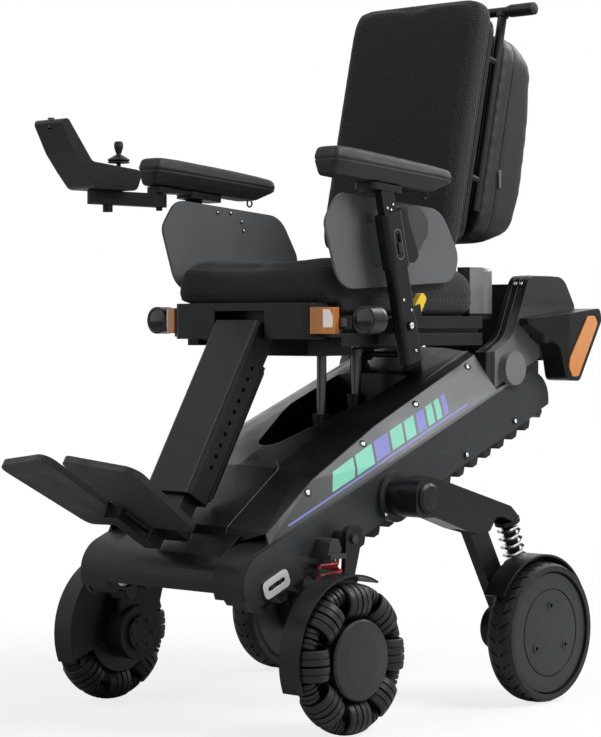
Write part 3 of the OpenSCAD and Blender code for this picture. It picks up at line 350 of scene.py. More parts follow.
class Finish:
    """One procedural finish: a shader and small helpers that add nodes to it."""

    def __init__(self, name, roughness=0.5, metallic=0.0, gloss=0.25):
        self.material = bpy.data.materials.new(name)
        self.material.use_nodes = True
        self.tree = self.material.node_tree
        self.shader = self.tree.nodes["Principled BSDF"]
        self.set("Roughness", roughness)
        self.set("Metallic", metallic)
        self.set("Specular IOR Level", gloss)
        self.place = self.tree.nodes.new("ShaderNodeTexCoord").outputs["Object"]

    def set(self, socket, value):
        self.shader.inputs[socket].default_value = value

    def to(self, socket, output):
        self.tree.links.new(output, self.shader.inputs[socket])

    def feed(self, target, value):
        """Sets a socket to a number, or links an output to it."""
        if hasattr(value, "is_linked"):
            self.tree.links.new(value, target)
        else:
            target.default_value = value

    def noise(self, scale, detail, stretch=None):
        node = self.tree.nodes.new("ShaderNodeTexNoise")
        node.inputs["Scale"].default_value = scale
        node.inputs["Detail"].default_value = detail
        self.tree.links.new(self.stretched(stretch), node.inputs["Vector"])
        return node.outputs["Fac"]

    def cells(self, scale, feature, spread):
        node = self.tree.nodes.new("ShaderNodeTexVoronoi")
        node.feature = feature
        node.inputs["Scale"].default_value = scale
        node.inputs["Randomness"].default_value = spread
        self.tree.links.new(self.place, node.inputs["Vector"])
        return node.outputs["Distance"]

    def stretched(self, stretch):
        if stretch is None:
            return self.place
        node = self.tree.nodes.new("ShaderNodeMapping")
        node.inputs["Scale"].default_value = stretch
        self.tree.links.new(self.place, node.inputs["Vector"])
        return node.outputs["Vector"]

    def math(self, kind, a, b=0.0):
        node = self.tree.nodes.new("ShaderNodeMath")
        node.operation = kind
        self.feed(node.inputs[0], a)
        self.feed(node.inputs[1], b)
        return node.outputs[0]

    def vector(self, kind, linked, fixed=(0, 0, 0), output="Value"):
        """Vector arithmetic of a linked vector and a fixed one."""
        node = self.tree.nodes.new("ShaderNodeVectorMath")
        node.operation = kind
        self.tree.links.new(linked, node.inputs[0])
        node.inputs[1].default_value = fixed
        return node.outputs[output]

    def along(self, direction):
        """Distance of a point along a direction, from the row's origin."""
        return self.vector("DOT_PRODUCT", self.place, direction)

    def past(self, place, direction):
        """Distance of a point past a place, along a direction."""
        return self.math("SUBTRACT", self.along(direction), place.dot(Vector(direction)))

    def span(self, value, low, high, out_low=0.0, out_high=1.0):
        """Maps a value from one range to another, held at the ends."""
        node = self.tree.nodes.new("ShaderNodeMapRange")
        self.feed(node.inputs["Value"], value)
        node.inputs["From Min"].default_value = low
        node.inputs["From Max"].default_value = high
        node.inputs["To Min"].default_value = out_low
        node.inputs["To Max"].default_value = out_high
        return node.outputs["Result"]

    def beyond(self, value, limit, soft=0.0005):
        """1 where a value is past a limit, 0 before it."""
        return self.span(value, limit - soft, limit + soft)

    def between(self, value, low, high, soft=0.0006):
        """1 where a value lies between two limits, 0 elsewhere."""
        rise = self.beyond(value, low, soft)
        fall = self.span(value, high - soft, high + soft, 1.0, 0.0)
        return self.math("MULTIPLY", rise, fall)

    def mix(self, share, first, second):
        node = self.tree.nodes.new("ShaderNodeMix")
        node.data_type = "RGBA"
        self.feed(node.inputs["Factor"], share)
        for socket, colour in ((node.inputs[6], first), (node.inputs[7], second)):
            self.feed(socket, colour if hasattr(colour, "is_linked") else (*colour, 1.0))
        return node.outputs[2]

    def bump(self, height, depth, strength, edge=0.0):
        """Relief of a height pattern, over edges softened to a radius."""
        node = self.tree.nodes.new("ShaderNodeBump")
        node.inputs["Strength"].default_value = strength
        node.inputs["Distance"].default_value = depth
        self.tree.links.new(height, node.inputs["Height"])
        if edge:
            soft = self.tree.nodes.new("ShaderNodeBevel")
            soft.samples = 4
            soft.inputs["Radius"].default_value = edge
            self.tree.links.new(soft.outputs["Normal"], node.inputs["Normal"])
        self.to("Normal", node.outputs["Normal"])

    def tint(self, colour, spread=0.2, scale=9.0):
        """Base colour that drifts a little lighter and darker."""
        darker = tuple(c * (1 - spread) for c in colour)
        lighter = tuple(min(1.0, c * (1 + spread)) for c in colour)
        shade = self.mix(self.noise(scale, 4.0), darker, lighter)
        self.to("Base Color", shade)
        return shade

    def wear(self, low, high, scale):
        """Roughness that drifts between two values."""
        self.to("Roughness", self.span(self.noise(scale, 5.0), 0.3, 0.7, low, high))

    def panel_grain(self):
        """Fine grain of a large painted moulding."""
        self.bump(self.noise(900.0, 2.0), 0.0001, 0.45, 0.0016)

    def orange_peel(self):
        """Fine waves of a powder coat."""
        self.bump(self.noise(420.0, 2.0), 0.00016, 0.5, 0.0012)


def moulding(name, colour, low=0.26, high=0.36, grain=900.0, edge=0.0016, depth=0.00006):
    """Satin moulding with a fine spark-eroded grain."""
    f = Finish(name)
    f.tint(colour, 0.16)
    f.wear(low, high, 24.0)
    f.bump(f.noise(grain, 2.0), depth, 0.5, edge)
    return f.material


def coated(name, colour):
    """Powder coat with orange peel, a little lighter where it has rubbed."""
    f = Finish(name, metallic=0.25)
    base = f.tint(colour, 0.14, 14.0)
    rubbed = f.span(f.noise(60.0, 6.0), 0.62, 0.74, 0.0, 0.35)
    f.to("Base Color", f.mix(rubbed, base, tuple(min(1.0, c * 1.7) for c in colour)))
    f.wear(0.3, 0.42, 40.0)
    f.orange_peel()
    return f.material


def rubber(name, colour, grain=650.0, dust=0.25):
    """Moulded rubber with grey dust in places."""
    f = Finish(name)
    base = f.tint(colour, 0.2, 30.0)
    dusty = f.span(f.noise(22.0, 6.0), 0.5, 0.78, 0.0, dust)
    f.to("Base Color", f.mix(dusty, base, (0.075, 0.073, 0.07)))
    f.wear(0.38, 0.54, 50.0)
    f.bump(f.noise(grain, 3.0), 0.0002, 0.55, 0.0012)
    return f.material


def metal(name, colour, roughness, metallic=1.0):
    """Bright metal with fine drawn lines."""
    drawn = (1.0, 1.0, 12.0)
    f = Finish(name, roughness, metallic)
    f.tint(colour, 0.06, 20.0)
    lines = f.noise(240.0, 4.0, drawn)
    f.to("Roughness", f.span(lines, 0.3, 0.7, roughness * 0.75, roughness * 1.4))
    f.bump(lines, 0.00004, 0.3, 0.0006)
    return f.material


def lens(name, colour, ribs):
    """Clear coloured lens with prisms behind its smooth face."""
    f = Finish(name, 0.14)
    prisms = f.cells(ribs, "DISTANCE_TO_EDGE", 0.1)
    f.to("Base Color", f.mix(f.span(prisms, 0.0, 0.3), tuple(c * 0.8 for c in colour), colour))
    f.set("Coat Weight", 0.6)
    f.set("Coat Roughness", 0.06)
    f.bump(prisms, 0.0004, 0.35, 0.0015)
    return f.material


def knit(name, colour):
    """Spacer knit: rows of small holes between ribs, with painted shade in the holes, a soft sheen, no gloss."""
    f = Finish(name, 0.86)
    rate = 1.0 / sizes().knit_cell
    holes = f.cells(rate, "F1", 0.55)
    rib = f.span(holes, 0.12, 0.5)
    base = f.tint(colour, 0.12, 16.0)
    # Painted shade: the holes are darkened to 0.45 of the knit's colour
    f.to("Base Color", f.mix(rib, tuple(c * 0.45 for c in colour), base))
    f.set("Sheen Weight", 0.14)
    f.set("Sheen Roughness", 0.45)
    fibre = f.noise(1500.0, 2.0)
    f.bump(f.math("ADD", rib, f.math("MULTIPLY", fibre, 0.25)), 0.0012, 0.8)
    return f.material


def soft_skin(name, colour, grain=420.0, low=0.46, high=0.6):
    """Self-skinned foam with a leather-like grain."""
    f = Finish(name)
    f.tint(colour, 0.14, 18.0)
    f.wear(low, high, 36.0)
    pebbles = f.cells(grain, "F1", 1.0)
    f.bump(f.math("ADD", pebbles, f.noise(120.0, 3.0)), 0.00025, 0.5)
    return f.material


# Bars of the side panels, in the track's own frame
BAR_COUNT = 9
BAR_START = 0.15
BAR_WIDTH = 0.064
BAR_GAP = 0.007
BAR_SHRINK = 0.82
BAR_SLANT = 0.9
BAR_BAND = (0.072, 0.099)
LINE_BAND = (0.0655, 0.0685)
LINE_SPAN = (0.09, 0.62)
NOSE_SEAM = 0.0022


def side_panel_finish(name):
    """Grey panel, with painted shade that darkens it towards the nose, slanted bars that shrink towards the back,
    and a fine line under them.
    """
    c = colours()
    f = Finish(name)
    s = f.past(IDLER, ALONG)
    n = f.past(IDLER, ACROSS)
    slant = f.math("SUBTRACT", s, f.math("MULTIPLY", n, BAR_SLANT))
    # Painted shade: the grey fades to nearly black towards the nose, from 0.5 m to 0.03 m along the track
    shade = f.mix(f.span(s, 0.03, 0.5, 0.05, 1.0), c.moulding, f.tint(c.panel, 0.08, 7.0))
    band = f.between(n, *BAR_BAND)
    edge, width = BAR_START, BAR_WIDTH
    for k in range(BAR_COUNT):
        bar = f.math("MULTIPLY", f.between(slant, edge, edge + width), band)
        shade = f.mix(bar, shade, c.stripe_two if k % 3 == 2 else c.stripe_one)
        edge += width + BAR_GAP
        width *= BAR_SHRINK
    line = f.math("MULTIPLY", f.between(n, *LINE_BAND), f.between(s, *LINE_SPAN))
    shade = f.mix(line, shade, c.stripe_two)
    # The nose end is black, behind a fine seam
    shade = f.mix(f.between(slant, 0.0, NOSE_SEAM), shade, (0.01, 0.01, 0.011))
    shade = f.mix(f.span(slant, -0.0008, 0.0), c.moulding, shade)
    f.to("Base Color", shade)
    f.wear(0.4, 0.52, 18.0)
    f.panel_grain()
    return f.material


def hood_finish(name):
    """Black hood whose outer flanks are grey, fading to black towards the top."""
    flank_x = 0.1703
    fade_low, fade_high = 0.635, 0.73
    c = colours()
    f = Finish(name)
    base = f.tint(c.moulding, 0.14)
    fade = f.span(f.along(UP), fade_low, fade_high, 1.0, 0.1)
    out = f.math("ABSOLUTE", f.along((1, 0, 0)))
    flank = f.math("MULTIPLY", f.beyond(out, flank_x), fade)
    f.to("Base Color", f.mix(flank, base, c.panel))
    f.wear(0.32, 0.44, 20.0)
    f.panel_grain()
    return f.material


def seat_frame_finish(name, colour):
    """Powder coat, with bare metal on the two recline motors."""
    motor_front, motor_base = 0.035, -0.0235
    motor_grey = (0.2, 0.203, 0.21)
    f = Finish(name)
    pivot = joint_place("back_recline")
    behind = f.past(pivot, (0, 1, 0))
    rise = f.past(pivot, UP)
    motor = f.math("MULTIPLY", f.beyond(behind, motor_front), f.beyond(rise, motor_base))
    f.to("Base Color", f.mix(motor, f.tint(colour, 0.14, 14.0), motor_grey))
    f.to("Metallic", f.span(motor, 0.0, 1.0, 0.25, 0.5))
    f.wear(0.36, 0.5, 40.0)
    f.orange_peel()
    return f.material


def post_finish(name, colour, paddle):
    """Powder coat, with a grey paddle behind the sleeve."""
    paddle_front, paddle_base = 0.059, 0.0905
    f = Finish(name, metallic=0.2)
    pivot = joint_place("armrest_flip_left")
    reach = f.past(pivot, (0, math.cos(ARM_LEAN), math.sin(ARM_LEAN)))
    rise = f.past(pivot, UP)
    share = f.math("MULTIPLY", f.beyond(reach, paddle_front), f.beyond(rise, paddle_base))
    f.to("Base Color", f.mix(share, f.tint(colour, 0.14, 14.0), paddle))
    f.wear(0.3, 0.42, 40.0)
    f.orange_peel()
    return f.material


def radial_finish(name, colour, centre):
    """Turned face: faint rings about the wheel's axle."""
    f = Finish(name, metallic=0.35)
    f.tint(colour, 0.1, 12.0)
    ring_rate = 5200.0
    sideways = f.vector("MULTIPLY", f.place, (0, 1, 1), "Vector")
    radius = f.vector("DISTANCE", sideways, (0, centre.y, centre.z))
    rings = f.math("SINE", f.math("MULTIPLY", radius, ring_rate))
    f.wear(0.34, 0.46, 30.0)
    f.bump(f.math("ADD", f.math("MULTIPLY", rings, 0.3), f.noise(700.0, 2.0)), 0.00008, 0.5, 0.0012)
    return f.material


FINISH = {}
COAT_BLACK = (0.0085, 0.0087, 0.0093)
TREAD_BLACK = (0.009, 0.009, 0.0096)
PALE_STEEL = (0.72, 0.73, 0.75)


class CHAIR_OT_finishes(Operator):
    """Makes every finish and lays it on the CAD pieces."""

    bl_idname = "chair.finishes"
    bl_label = "Finishes"

    def execute(self, context):
        c = colours()
        front = joint_place("front_wheel_spin_left")
        rear = joint_place("rear_wheel_spin_left")
        FINISH.update({
            "shell_black": moulding("satin_black_moulding", c.moulding),
            "panel_grey": side_panel_finish("striped_side_panel"),
            "guard_grey": moulding("grey_guard_moulding", c.guard, 0.34, 0.44, 800.0),
            "plate_grey": coated("track_plate_coat", c.plate),
            "belt_rubber": rubber("belt_rubber", TREAD_BLACK),
            "roller_rubber": rubber("roller_rubber", TREAD_BLACK, 500.0, 0.12),
            "tyre_rubber": rubber("tyre_rubber", TREAD_BLACK, 500.0, 0.16),
            "lens_orange": lens("reflector_lens", c.reflector, 170.0),
            "lamp_amber": lens("corner_lamp_lens", c.amber, 120.0),
            "battery_case": coated("battery_case_coat", (0.03, 0.031, 0.034)),
            "frame_black": coated("frame_coat", COAT_BLACK),
            "hood_black": hood_finish("two_tone_hood"),
            "seat_frame_black": seat_frame_finish("seat_frame_coat", COAT_BLACK),
            "post_black": post_finish("armrest_post_coat", COAT_BLACK, (0.05, 0.051, 0.053)),
            "satin_steel": metal("satin_steel", PALE_STEEL, 0.36, metallic=0.35),
            "dark_steel": metal("dark_steel", (0.09, 0.092, 0.097), 0.3),
            "hub_front": radial_finish("front_hub_face", (0.026, 0.0267, 0.028), front),
            "hub_rear": radial_finish("rear_disc_face", (0.03, 0.031, 0.033), rear),
            "spring_red": moulding("red_spring_enamel", (0.42, 0.02, 0.015), 0.18, 0.28, 300.0, 0.0004),
            "bright_steel": metal("bright_steel", PALE_STEEL, 0.16),
            "raw_steel": metal("machined_steel", (0.4, 0.41, 0.43), 0.32),
            "actuator_black": coated("actuator_coat", (0.0095, 0.0097, 0.0105)),
            "knit_charcoal": knit("charcoal_knit", c.knit),
            "case_black": soft_skin("case_shell", (0.015, 0.0153, 0.0162), 700.0, 0.38, 0.5),
            "pad_black": soft_skin("arm_pad_skin", (0.014, 0.0143, 0.0152)),
            "foot_black": moulding("footplate_moulding", COAT_BLACK, 0.42, 0.56, 380.0),
            "lever_yellow": moulding("yellow_lever", c.lever, 0.28, 0.36, 500.0, 0.001),
            "button_grey": moulding("grey_button", (0.1, 0.103, 0.108), 0.36, 0.46, 700.0, 0.0008),
            "knob_black": soft_skin("joystick_skin", (0.02, 0.02, 0.022), 900.0, 0.4, 0.5),
            "smoked_lens": lens("headlamp_lens", (0.008, 0.008, 0.009), 300.0),
            "display_black": moulding("display_cover", (0.006, 0.0062, 0.007), 0.1, 0.14, 300.0, 0.0006,
                                      1e-5),
            "lamp_white": moulding("lamp_block", (0.78, 0.7, 0.66), 0.2, 0.3, 300.0, 0.001),
            "dark_line": moulding("seam_shadow", (0.006, 0.006, 0.007), 0.5, 0.6, 300.0, 0.0),
            "pale_line": moulding("seam_edge", (0.11, 0.112, 0.116), 0.4, 0.5, 300.0, 0.0),
            "piping": rubber("cushion_piping", (0.014, 0.014, 0.016), 900.0, 0.05),
        })
        by_node = {
            "rear_hood": "hood_black", "seat_frame": "seat_frame_black",
            "lift_rod_front": "dark_steel", "lift_rod_rear": "dark_steel",
        }
        for side, _ in SIDES:
            by_node.update({
                f"side_guard_{side}": "guard_grey", f"arm_post_{side}": "post_black",
                f"height_button_{side}": "knob_black", f"front_rollers_{side}": "roller_rubber",
                f"front_hub_{side}": "hub_front", f"rear_disc_{side}": "hub_rear",
            })
        for part in frame["record"]["subparts"]:
            node = part["node"]
            piece = NODES[node]
            piece.data.materials.clear()
            piece.data.materials.append(FINISH[by_node.get(node, part["material_slot"])])
        return {"FINISHED"}


# Cushions


def evaluated_mesh(piece):
    graph = bpy.context.evaluated_depsgraph_get()
    return bpy.data.meshes.new_from_object(piece.evaluated_get(graph))


def take(piece, mesh):
    """Gives a piece a new mesh and drops its modifiers."""
    old = piece.data
    piece.modifiers.clear()
    piece.data = mesh
    bpy.data.meshes.remove(old)


def points_of(mesh):
    flat = np.zeros(len(mesh.vertices) * 3)
    mesh.vertices.foreach_get("co", flat)
    return flat.reshape(-1, 3)


def normals_of(mesh):
    flat = np.zeros(len(mesh.vertices) * 3)
    mesh.vertices.foreach_get("normal", flat)
    return flat.reshape(-1, 3)


def place_points(mesh, points):
    mesh.vertices.foreach_set("co", np.asarray(points, dtype=np.float32).ravel())
    mesh.update()


def relax(piece, rounds):
    """Evens out small lumps of a piece's mesh."""
    ease = piece.modifiers.new("ease", "SMOOTH")
    ease.factor = 0.5
    ease.iterations = rounds
    take(piece, evaluated_mesh(piece))


def swollen(name, node, voxel, draw_in, limit, pressure, smoothing=4, steps=20):
    """A padded copy of a CAD solid: remeshed, drawn in, then swollen as cloth under pressure."""
    piece = bpy.data.objects.new(name, NODES[node].data.copy())
    bpy.context.scene.collection.objects.link(piece)
    piece.data.materials.clear()
    remesh = piece.modifiers.new("even mesh", "REMESH")
    remesh.mode = "VOXEL"
    remesh.voxel_size = voxel
    take(piece, evaluated_mesh(piece))
    relax(piece, smoothing)
    start = points_of(piece.data) - normals_of(piece.data) * draw_in
    place_points(piece.data, start)
    cloth = piece.modifiers.new("swell", "CLOTH")
    cloth.settings.quality = 4
    cloth.settings.mass = 0.3
    cloth.settings.tension_stiffness = 18
    cloth.settings.compression_stiffness = 18
    cloth.settings.shear_stiffness = 8
    cloth.settings.bending_stiffness = 2.5
    cloth.settings.use_pressure = True
    cloth.settings.uniform_pressure_force = pressure
    cloth.settings.effector_weights.gravity = 0
    cloth.point_cache.frame_end = steps
    for step in range(1, steps + 1):
        bpy.context.scene.frame_set(step)
    swelled = evaluated_mesh(piece)
    outward = normals_of(piece.data)
    rise = np.sum((points_of(swelled) - start) * outward, axis=1, keepdims=True)
    place_points(swelled, start + outward * np.clip(rise, 0.0, limit))
    take(piece, swelled)
    relax(piece, smoothing)
    bpy.context.scene.frame_set(1)
    return piece


def keep_inside(piece, node, turn, spare=0.002):
    """Keeps a cushion on its base and within its CAD solid's sides, in a turned frame."""
    turn = np.array(turn.to_3x3())
    room = points_of(NODES[node].data) @ turn.T
    low = room.min(0)
    high = room.max(0)
    points = points_of(piece.data) @ turn.T
    points[:, 2] = np.maximum(points[:, 2], low[2])
    for axis in (0, 1):
        points[:, axis] = np.clip(points[:, axis], low[axis] - spare, high[axis] + spare)
    place_points(piece.data, points @ turn)


def sew(piece, turn, height, depth, width):
    """Presses a sewn line into a cushion at a height above its base."""
    rotation = np.array(turn.to_3x3())
    points = points_of(piece.data)
    level = (points @ rotation.T)[:, 2]
    away = level - (level.min() + height)
    pull = depth * np.exp(-((away / width) ** 2))
    place_points(piece.data, points - normals_of(piece.data) * pull[:, None])


def contour(piece, turn, height):
    """The outline of a piece at a height above its base, as an ordered closed loop."""
    bm = bmesh.new()
    bm.from_mesh(piece.data)
    rotation = turn.to_3x3()
    level = min((rotation @ v.co).z for v in bm.verts) + height
    normal = rotation.transposed() @ UP
    whole = bm.verts[:] + bm.edges[:] + bm.faces[:]
    cut = bmesh.ops.bisect_plane(bm, geom=whole, plane_co=normal * level, plane_no=normal)
    edges = [g for g in cut["geom_cut"] if isinstance(g, bmesh.types.BMEdge)]
    beside = {}
    for edge in edges:
        a, b = edge.verts
        beside.setdefault(a, []).append(b)
        beside.setdefault(b, []).append(a)
    first = next(iter(beside))
    loop = [first]
    seen = {first}
    while True:
        ahead = [v for v in beside[loop[-1]] if v not in seen]
        if not ahead:
            break
        loop.append(ahead[0])
        seen.add(ahead[0])
    points = np.array([v.co[:] for v in loop])
    bm.free()
    return even_loop(points, count=160)


def even_loop(points, count):
    """A closed loop smoothed and set out at even steps."""
    closed = np.vstack([points, points[:1]])
    run = np.concatenate([[0], np.cumsum(np.linalg.norm(np.diff(closed, axis=0), axis=1))])
    steps = np.linspace(0, run[-1], count, endpoint=False)
    even = np.stack([np.interp(steps, run, closed[:, k]) for k in range(3)], axis=1)
    for _ in range(3):
        even = (np.roll(even, 1, 0) + 2 * even + np.roll(even, -1, 0)) / 4
    return even


def upholster(piece, node, body, slot):
    """Rounds off a cushion: finish, one subdivision, its body, and what it stands for."""
    piece.data.materials.clear()
    piece.data.materials.append(FINISH[slot])
    smooth = piece.modifiers.new("round", "SUBSURF")
    smooth.levels = 1
    smooth.render_levels = 1
    take(piece, evaluated_mesh(piece))
    piece.data.shade_smooth()
    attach(piece, body)
    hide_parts(node)


LEVEL = Matrix.Identity(4)
PAD_FACE = Matrix.Rotation(PAD_LEAN, 4, "X")
UPRIGHT = Matrix.Rotation(BACK_LEAN, 4, "X")
BACK_FACE = Matrix.Rotation(math.radians(-90), 4, "X") @ UPRIGHT
CASE_FACE = Matrix.Rotation(math.radians(90), 4, "X") @ UPRIGHT
CUSHION_PRESSURE = 4.0


class CHAIR_OT_seat_cushion(Operator):
    """The seat cushion with its knit cover and base seam."""

    bl_idname = "chair.seat_cushion"
    bl_label = "Seat cushion"

    def execute(self, context):
        s = sizes()
        pad = swollen("seat_pad", "seat_cushion", s.cushion_voxel, s.cushion_draw_in, s.cushion_swell,
                      CUSHION_PRESSURE)
        keep_inside(pad, "seat_cushion", LEVEL)
        upholster(pad, "seat_cushion", "seat", "knit_charcoal")
        sew(pad, LEVEL, height=0.034, depth=0.0016, width=0.004)
        return {"FINISHED"}


class CHAIR_OT_back_cushion(Operator):
    """The back cushion with its knit cover and a piping near its rear edge."""

    bl_idname = "chair.back_cushion"
    bl_label = "Back cushion"

    def execute(self, context):
        s = sizes()
        seam = 0.012
        limit = s.cushion_swell * 0.6
        pad = swollen("back_pad", "back_cushion", s.cushion_voxel, s.cushion_draw_in, limit,
                      CUSHION_PRESSURE)
        keep_inside(pad, "back_cushion", BACK_FACE)
        upholster(pad, "back_cushion", "back", "knit_charcoal")
        sew(pad, BACK_FACE, height=seam, depth=0.001, width=0.003)
        loop = contour(pad, BACK_FACE, seam)
        wire("back_piping", loop, s.piping, "back", FINISH["piping"], closed=True)
        return {"FINISHED"}


class CHAIR_OT_arm_pads(Operator):
    """Self-skinned arm pads with a moulded parting line, and an eye under each."""

    bl_idname = "chair.arm_pads"
    bl_label = "Arm pads"

    def execute(self, context):
        for side, _ in SIDES:
            node = f"arm_pad_{side}"
            pad = swollen(f"arm_cushion_{side}", node, voxel=0.004, draw_in=0.0008, limit=0.0014,
                          pressure=2.0, smoothing=2)
            keep_inside(pad, node, PAD_FACE)
            upholster(pad, node, f"arm_top_{side}", "pad_black")
            sew(pad, PAD_FACE, height=0.0285, depth=0.0014, width=0.0018)
            self.eye(side, node)
        return {"FINISHED"}

    def eye(self, side, node):
        """Small ring under the rear of a pad, sunk a little into it."""
        radius, drop, from_rear = 0.0065, 0.0055, 0.05
        low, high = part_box(node)
        under = ((low.x + high.x) / 2, high.y - from_rear, low.z - 0.1)
        middle, _ = land(node, under, UP)
        middle.z -= drop
        ring = [middle + Vector((0, radius * math.sin(a), radius * math.cos(a)))
                for a in np.linspace(0, 2 * math.pi, 24, endpoint=False)]
        wire(f"pad_eye_{side}", ring, 0.0017, f"arm_top_{side}",
             FINISH["frame_black"], closed=True)


class CHAIR_OT_storage_case(Operator):
    """Moulded storage case on the back, with its zip and pull."""

    bl_idname = "chair.storage_case"
    bl_label = "Storage case"

    def execute(self, context):
        zip_height, pull_share = 0.036, 0.33
        case = swollen("carry_case", "storage_case", voxel=0.007, draw_in=0.001, limit=0.001,
                       pressure=1.2, smoothing=8)
        upholster(case, "storage_case", "back", "case_black")
        sew(case, CASE_FACE, zip_height, depth=0.0018, width=0.004)
        loop = contour(case, CASE_FACE, zip_height)
        wire("case_zip", loop, 0.0017, "back", FINISH["dark_line"], closed=True)
        wanted = loop[:, 2].min() + pull_share * np.ptp(loop[:, 2])
        spot = loop[np.argmax(loop[:, 0] - 4 * np.abs(loop[:, 2] - wanted))]
        self.pull(Vector(spot))
        return {"FINISHED"}

    def pull(self, place):
        """Zip slider with its tab, on the sitter's left."""
        at = basis(place + Vector((0.0012, 0, 0)), (1, 0, 0))

        def build(bm):
            tab = at @ Matrix.Translation((0, -0.016, 0.001))
            prism(bm, rounded_box(0.009, 0.012, 0.003), at, 0.0035, 0.001)
            prism(bm, rounded_box(0.007, 0.026, 0.003), tab, 0.0022, 0.0008)

        link("zip_pull", mesh_from("zip_pull", build), "back", FINISH["button_grey"])


# Fasteners and trim


# Screws of the panels and plates: along the track's slope and above it
PANEL_SCREWS = ((0.165, 0.094), (0.345, 0.106), (0.515, 0.11), (0.69, 0.112))
PLATE_SCREWS = ((0.317, -0.016), (0.575, -0.016), (0.734, -0.016))

# Screws on top of the hood: distances from the middle, and the place along the chair
HOOD_SCREWS_X = (0.1635, 0.1765)
HOOD_SCREWS_Y = 0.4375

# Screws of the armrests: behind and above the pivot, along the post
POST_SCREWS = ((-0.008, 0.048), (0.009, 0.026), (0.004, -0.046))
TUBE_SCREWS = ((-0.008, 0.212), (0.001, 0.207), (0.008, 0.215))

# Screws of the side guards: behind the pivot, and above the floor
GUARD_SCREWS = ((-0.03, 0.9), (0.005, 0.9), (0.035, 0.885), (0.04, 0.868), (0.0, 0.79))


def screws(name, body, spots, radius):
    """Button-head screws with a socket, each in a dark washer: spots are (place, outward)."""
    r = radius
    washer = [(0, 0.0002), (1.75 * r, 0.0002), (1.75 * r, 0.0009), (1.25 * r, 0.0012), (1.2 * r, 0.0004)]
    head = [(1.15 * r, 0.0003), (1.12 * r, 0.0012), (0.9 * r, 0.0019), (0.5 * r, 0.0022),
            (0.5 * r, 0.001), (0, 0.001)]

    def build(bm):
        for place, outward in spots:
            spot = basis(place, outward)
            turned(bm, washer, spot, 24, 0)
            turned(bm, head, spot, 24, 1)

    piece = link(name, mesh_from(name, build), body, FINISH["dark_line"])
    piece.data.materials.append(FINISH["bright_steel"])


class CHAIR_OT_fasteners(Operator):
    """Panel, plate, hood, armrest and guard screws, and the rims of the height buttons."""

    bl_idname = "chair.fasteners"
    bl_label = "Fasteners"

    def execute(self, context):
        s = sizes()
        for side, sign in SIDES:
            outer = sign * OUTSIDE_X
            inward = Vector((-sign, 0, 0))
            pivot = joint_place(f"armrest_flip_{side}")
            post, tube, guard = f"arm_post_{side}", f"arm_tube_{side}", f"side_guard_{side}"
            arm, arm_top = f"armrest_{side}", f"arm_top_{side}"
            panel = [land("side_panels", on_track(y, z, outer), inward) for y, z in PANEL_SCREWS]
            plate = [land("track_frames", on_track(y, z, outer), inward) for y, z in PLATE_SCREWS]
            hood = [land("rear_hood", (sign * x, HOOD_SCREWS_Y, ABOVE_Z), -UP) for x in HOOD_SCREWS_X]
            on_post = [land(post, in_arm(outer, y, z), inward) for y, z in POST_SCREWS]
            on_tube = [land(tube, in_arm(outer, y, z), inward) for y, z in TUBE_SCREWS]
            pin = [land("seat_frame", (outer, pivot.y, pivot.z), inward)]
            on_guard = [land(guard, (0, pivot.y + y, z), -inward) for y, z in GUARD_SCREWS]
            screws(f"panel_screws_{side}", "chassis", panel, s.screw)
            screws(f"plate_screws_{side}", "chassis", plate, s.screw * 0.8)
            screws(f"hood_screws_{side}", "chassis", hood, s.screw * 0.8)
            screws(f"post_screws_{side}", arm, on_post, s.screw * 0.55)
            screws(f"tube_screws_{side}", arm_top, on_tube, s.screw * 0.5)
            screws(f"pivot_screw_{side}", "seat", pin, s.screw * 1.1)
            self.button_rim(side, outer, s.seam * 1.6)
            screws(f"guard_screws_{side}", arm, on_guard, s.screw * 0.55)
        return {"FINISHED"}

    def button_rim(self, side, outer, radius):
        """Raised oval rim round the height button's slot."""
        half_straight, end_radius, rise = 0.017, 0.0095, 0.006
        low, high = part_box(f"height_button_{side}")
        lean = Matrix.Rotation(ARM_LEAN, 4, "X")
        middle = (low + high) / 2
        loop = []
        for angle in np.linspace(0, 2 * math.pi, 48, endpoint=False):
            end = half_straight if math.sin(angle) > 0 else -half_straight
            lift = rise + end + end_radius * math.sin(angle)
            spot = middle + lean @ Vector((0, end_radius * math.cos(angle), lift))
            spot.x = outer
            loop.append(land(f"arm_post_{side}", spot, (-outer, 0, 0))[0])
        wire(f"button_rim_{side}", loop, radius, f"armrest_{side}",
             FINISH["pale_line"], closed=True)


# Tensioner plates, in the track's own frame: middle, outline, slot, and where they touch the frame
TENSIONER_MIDDLE = (0.02, -0.008)
TENSIONER_OUTLINE = (0.065, 0.031, 0.0095)
TENSIONER_SLOT = (0.044, 0.009, 0.0044)
TENSIONER_SEAT = (0.0475, -0.008)


def pierced_plate(name, outlines, half_thickness, bevel):
    """A flat plate in the XY plane, as a mesh: the second outline is a hole in the first."""
    curve = bpy.data.curves.new(name, "CURVE")
    curve.dimensions = "2D"
    curve.fill_mode = "BOTH"
    curve.extrude = half_thickness
    curve.bevel_depth = bevel
    for outline in outlines:
        spline = curve.splines.new("POLY")
        spline.points.add(len(outline) - 1)
        spline.use_cyclic_u = True
        for spot, (x, y) in zip(spline.points, outline):
            spot.co = (x, y, 0, 1)
    holder = bpy.data.objects.new(name, curve)
    bpy.context.scene.collection.objects.link(holder)
    mesh = evaluated_mesh(holder)
    bpy.data.objects.remove(holder)
    return mesh


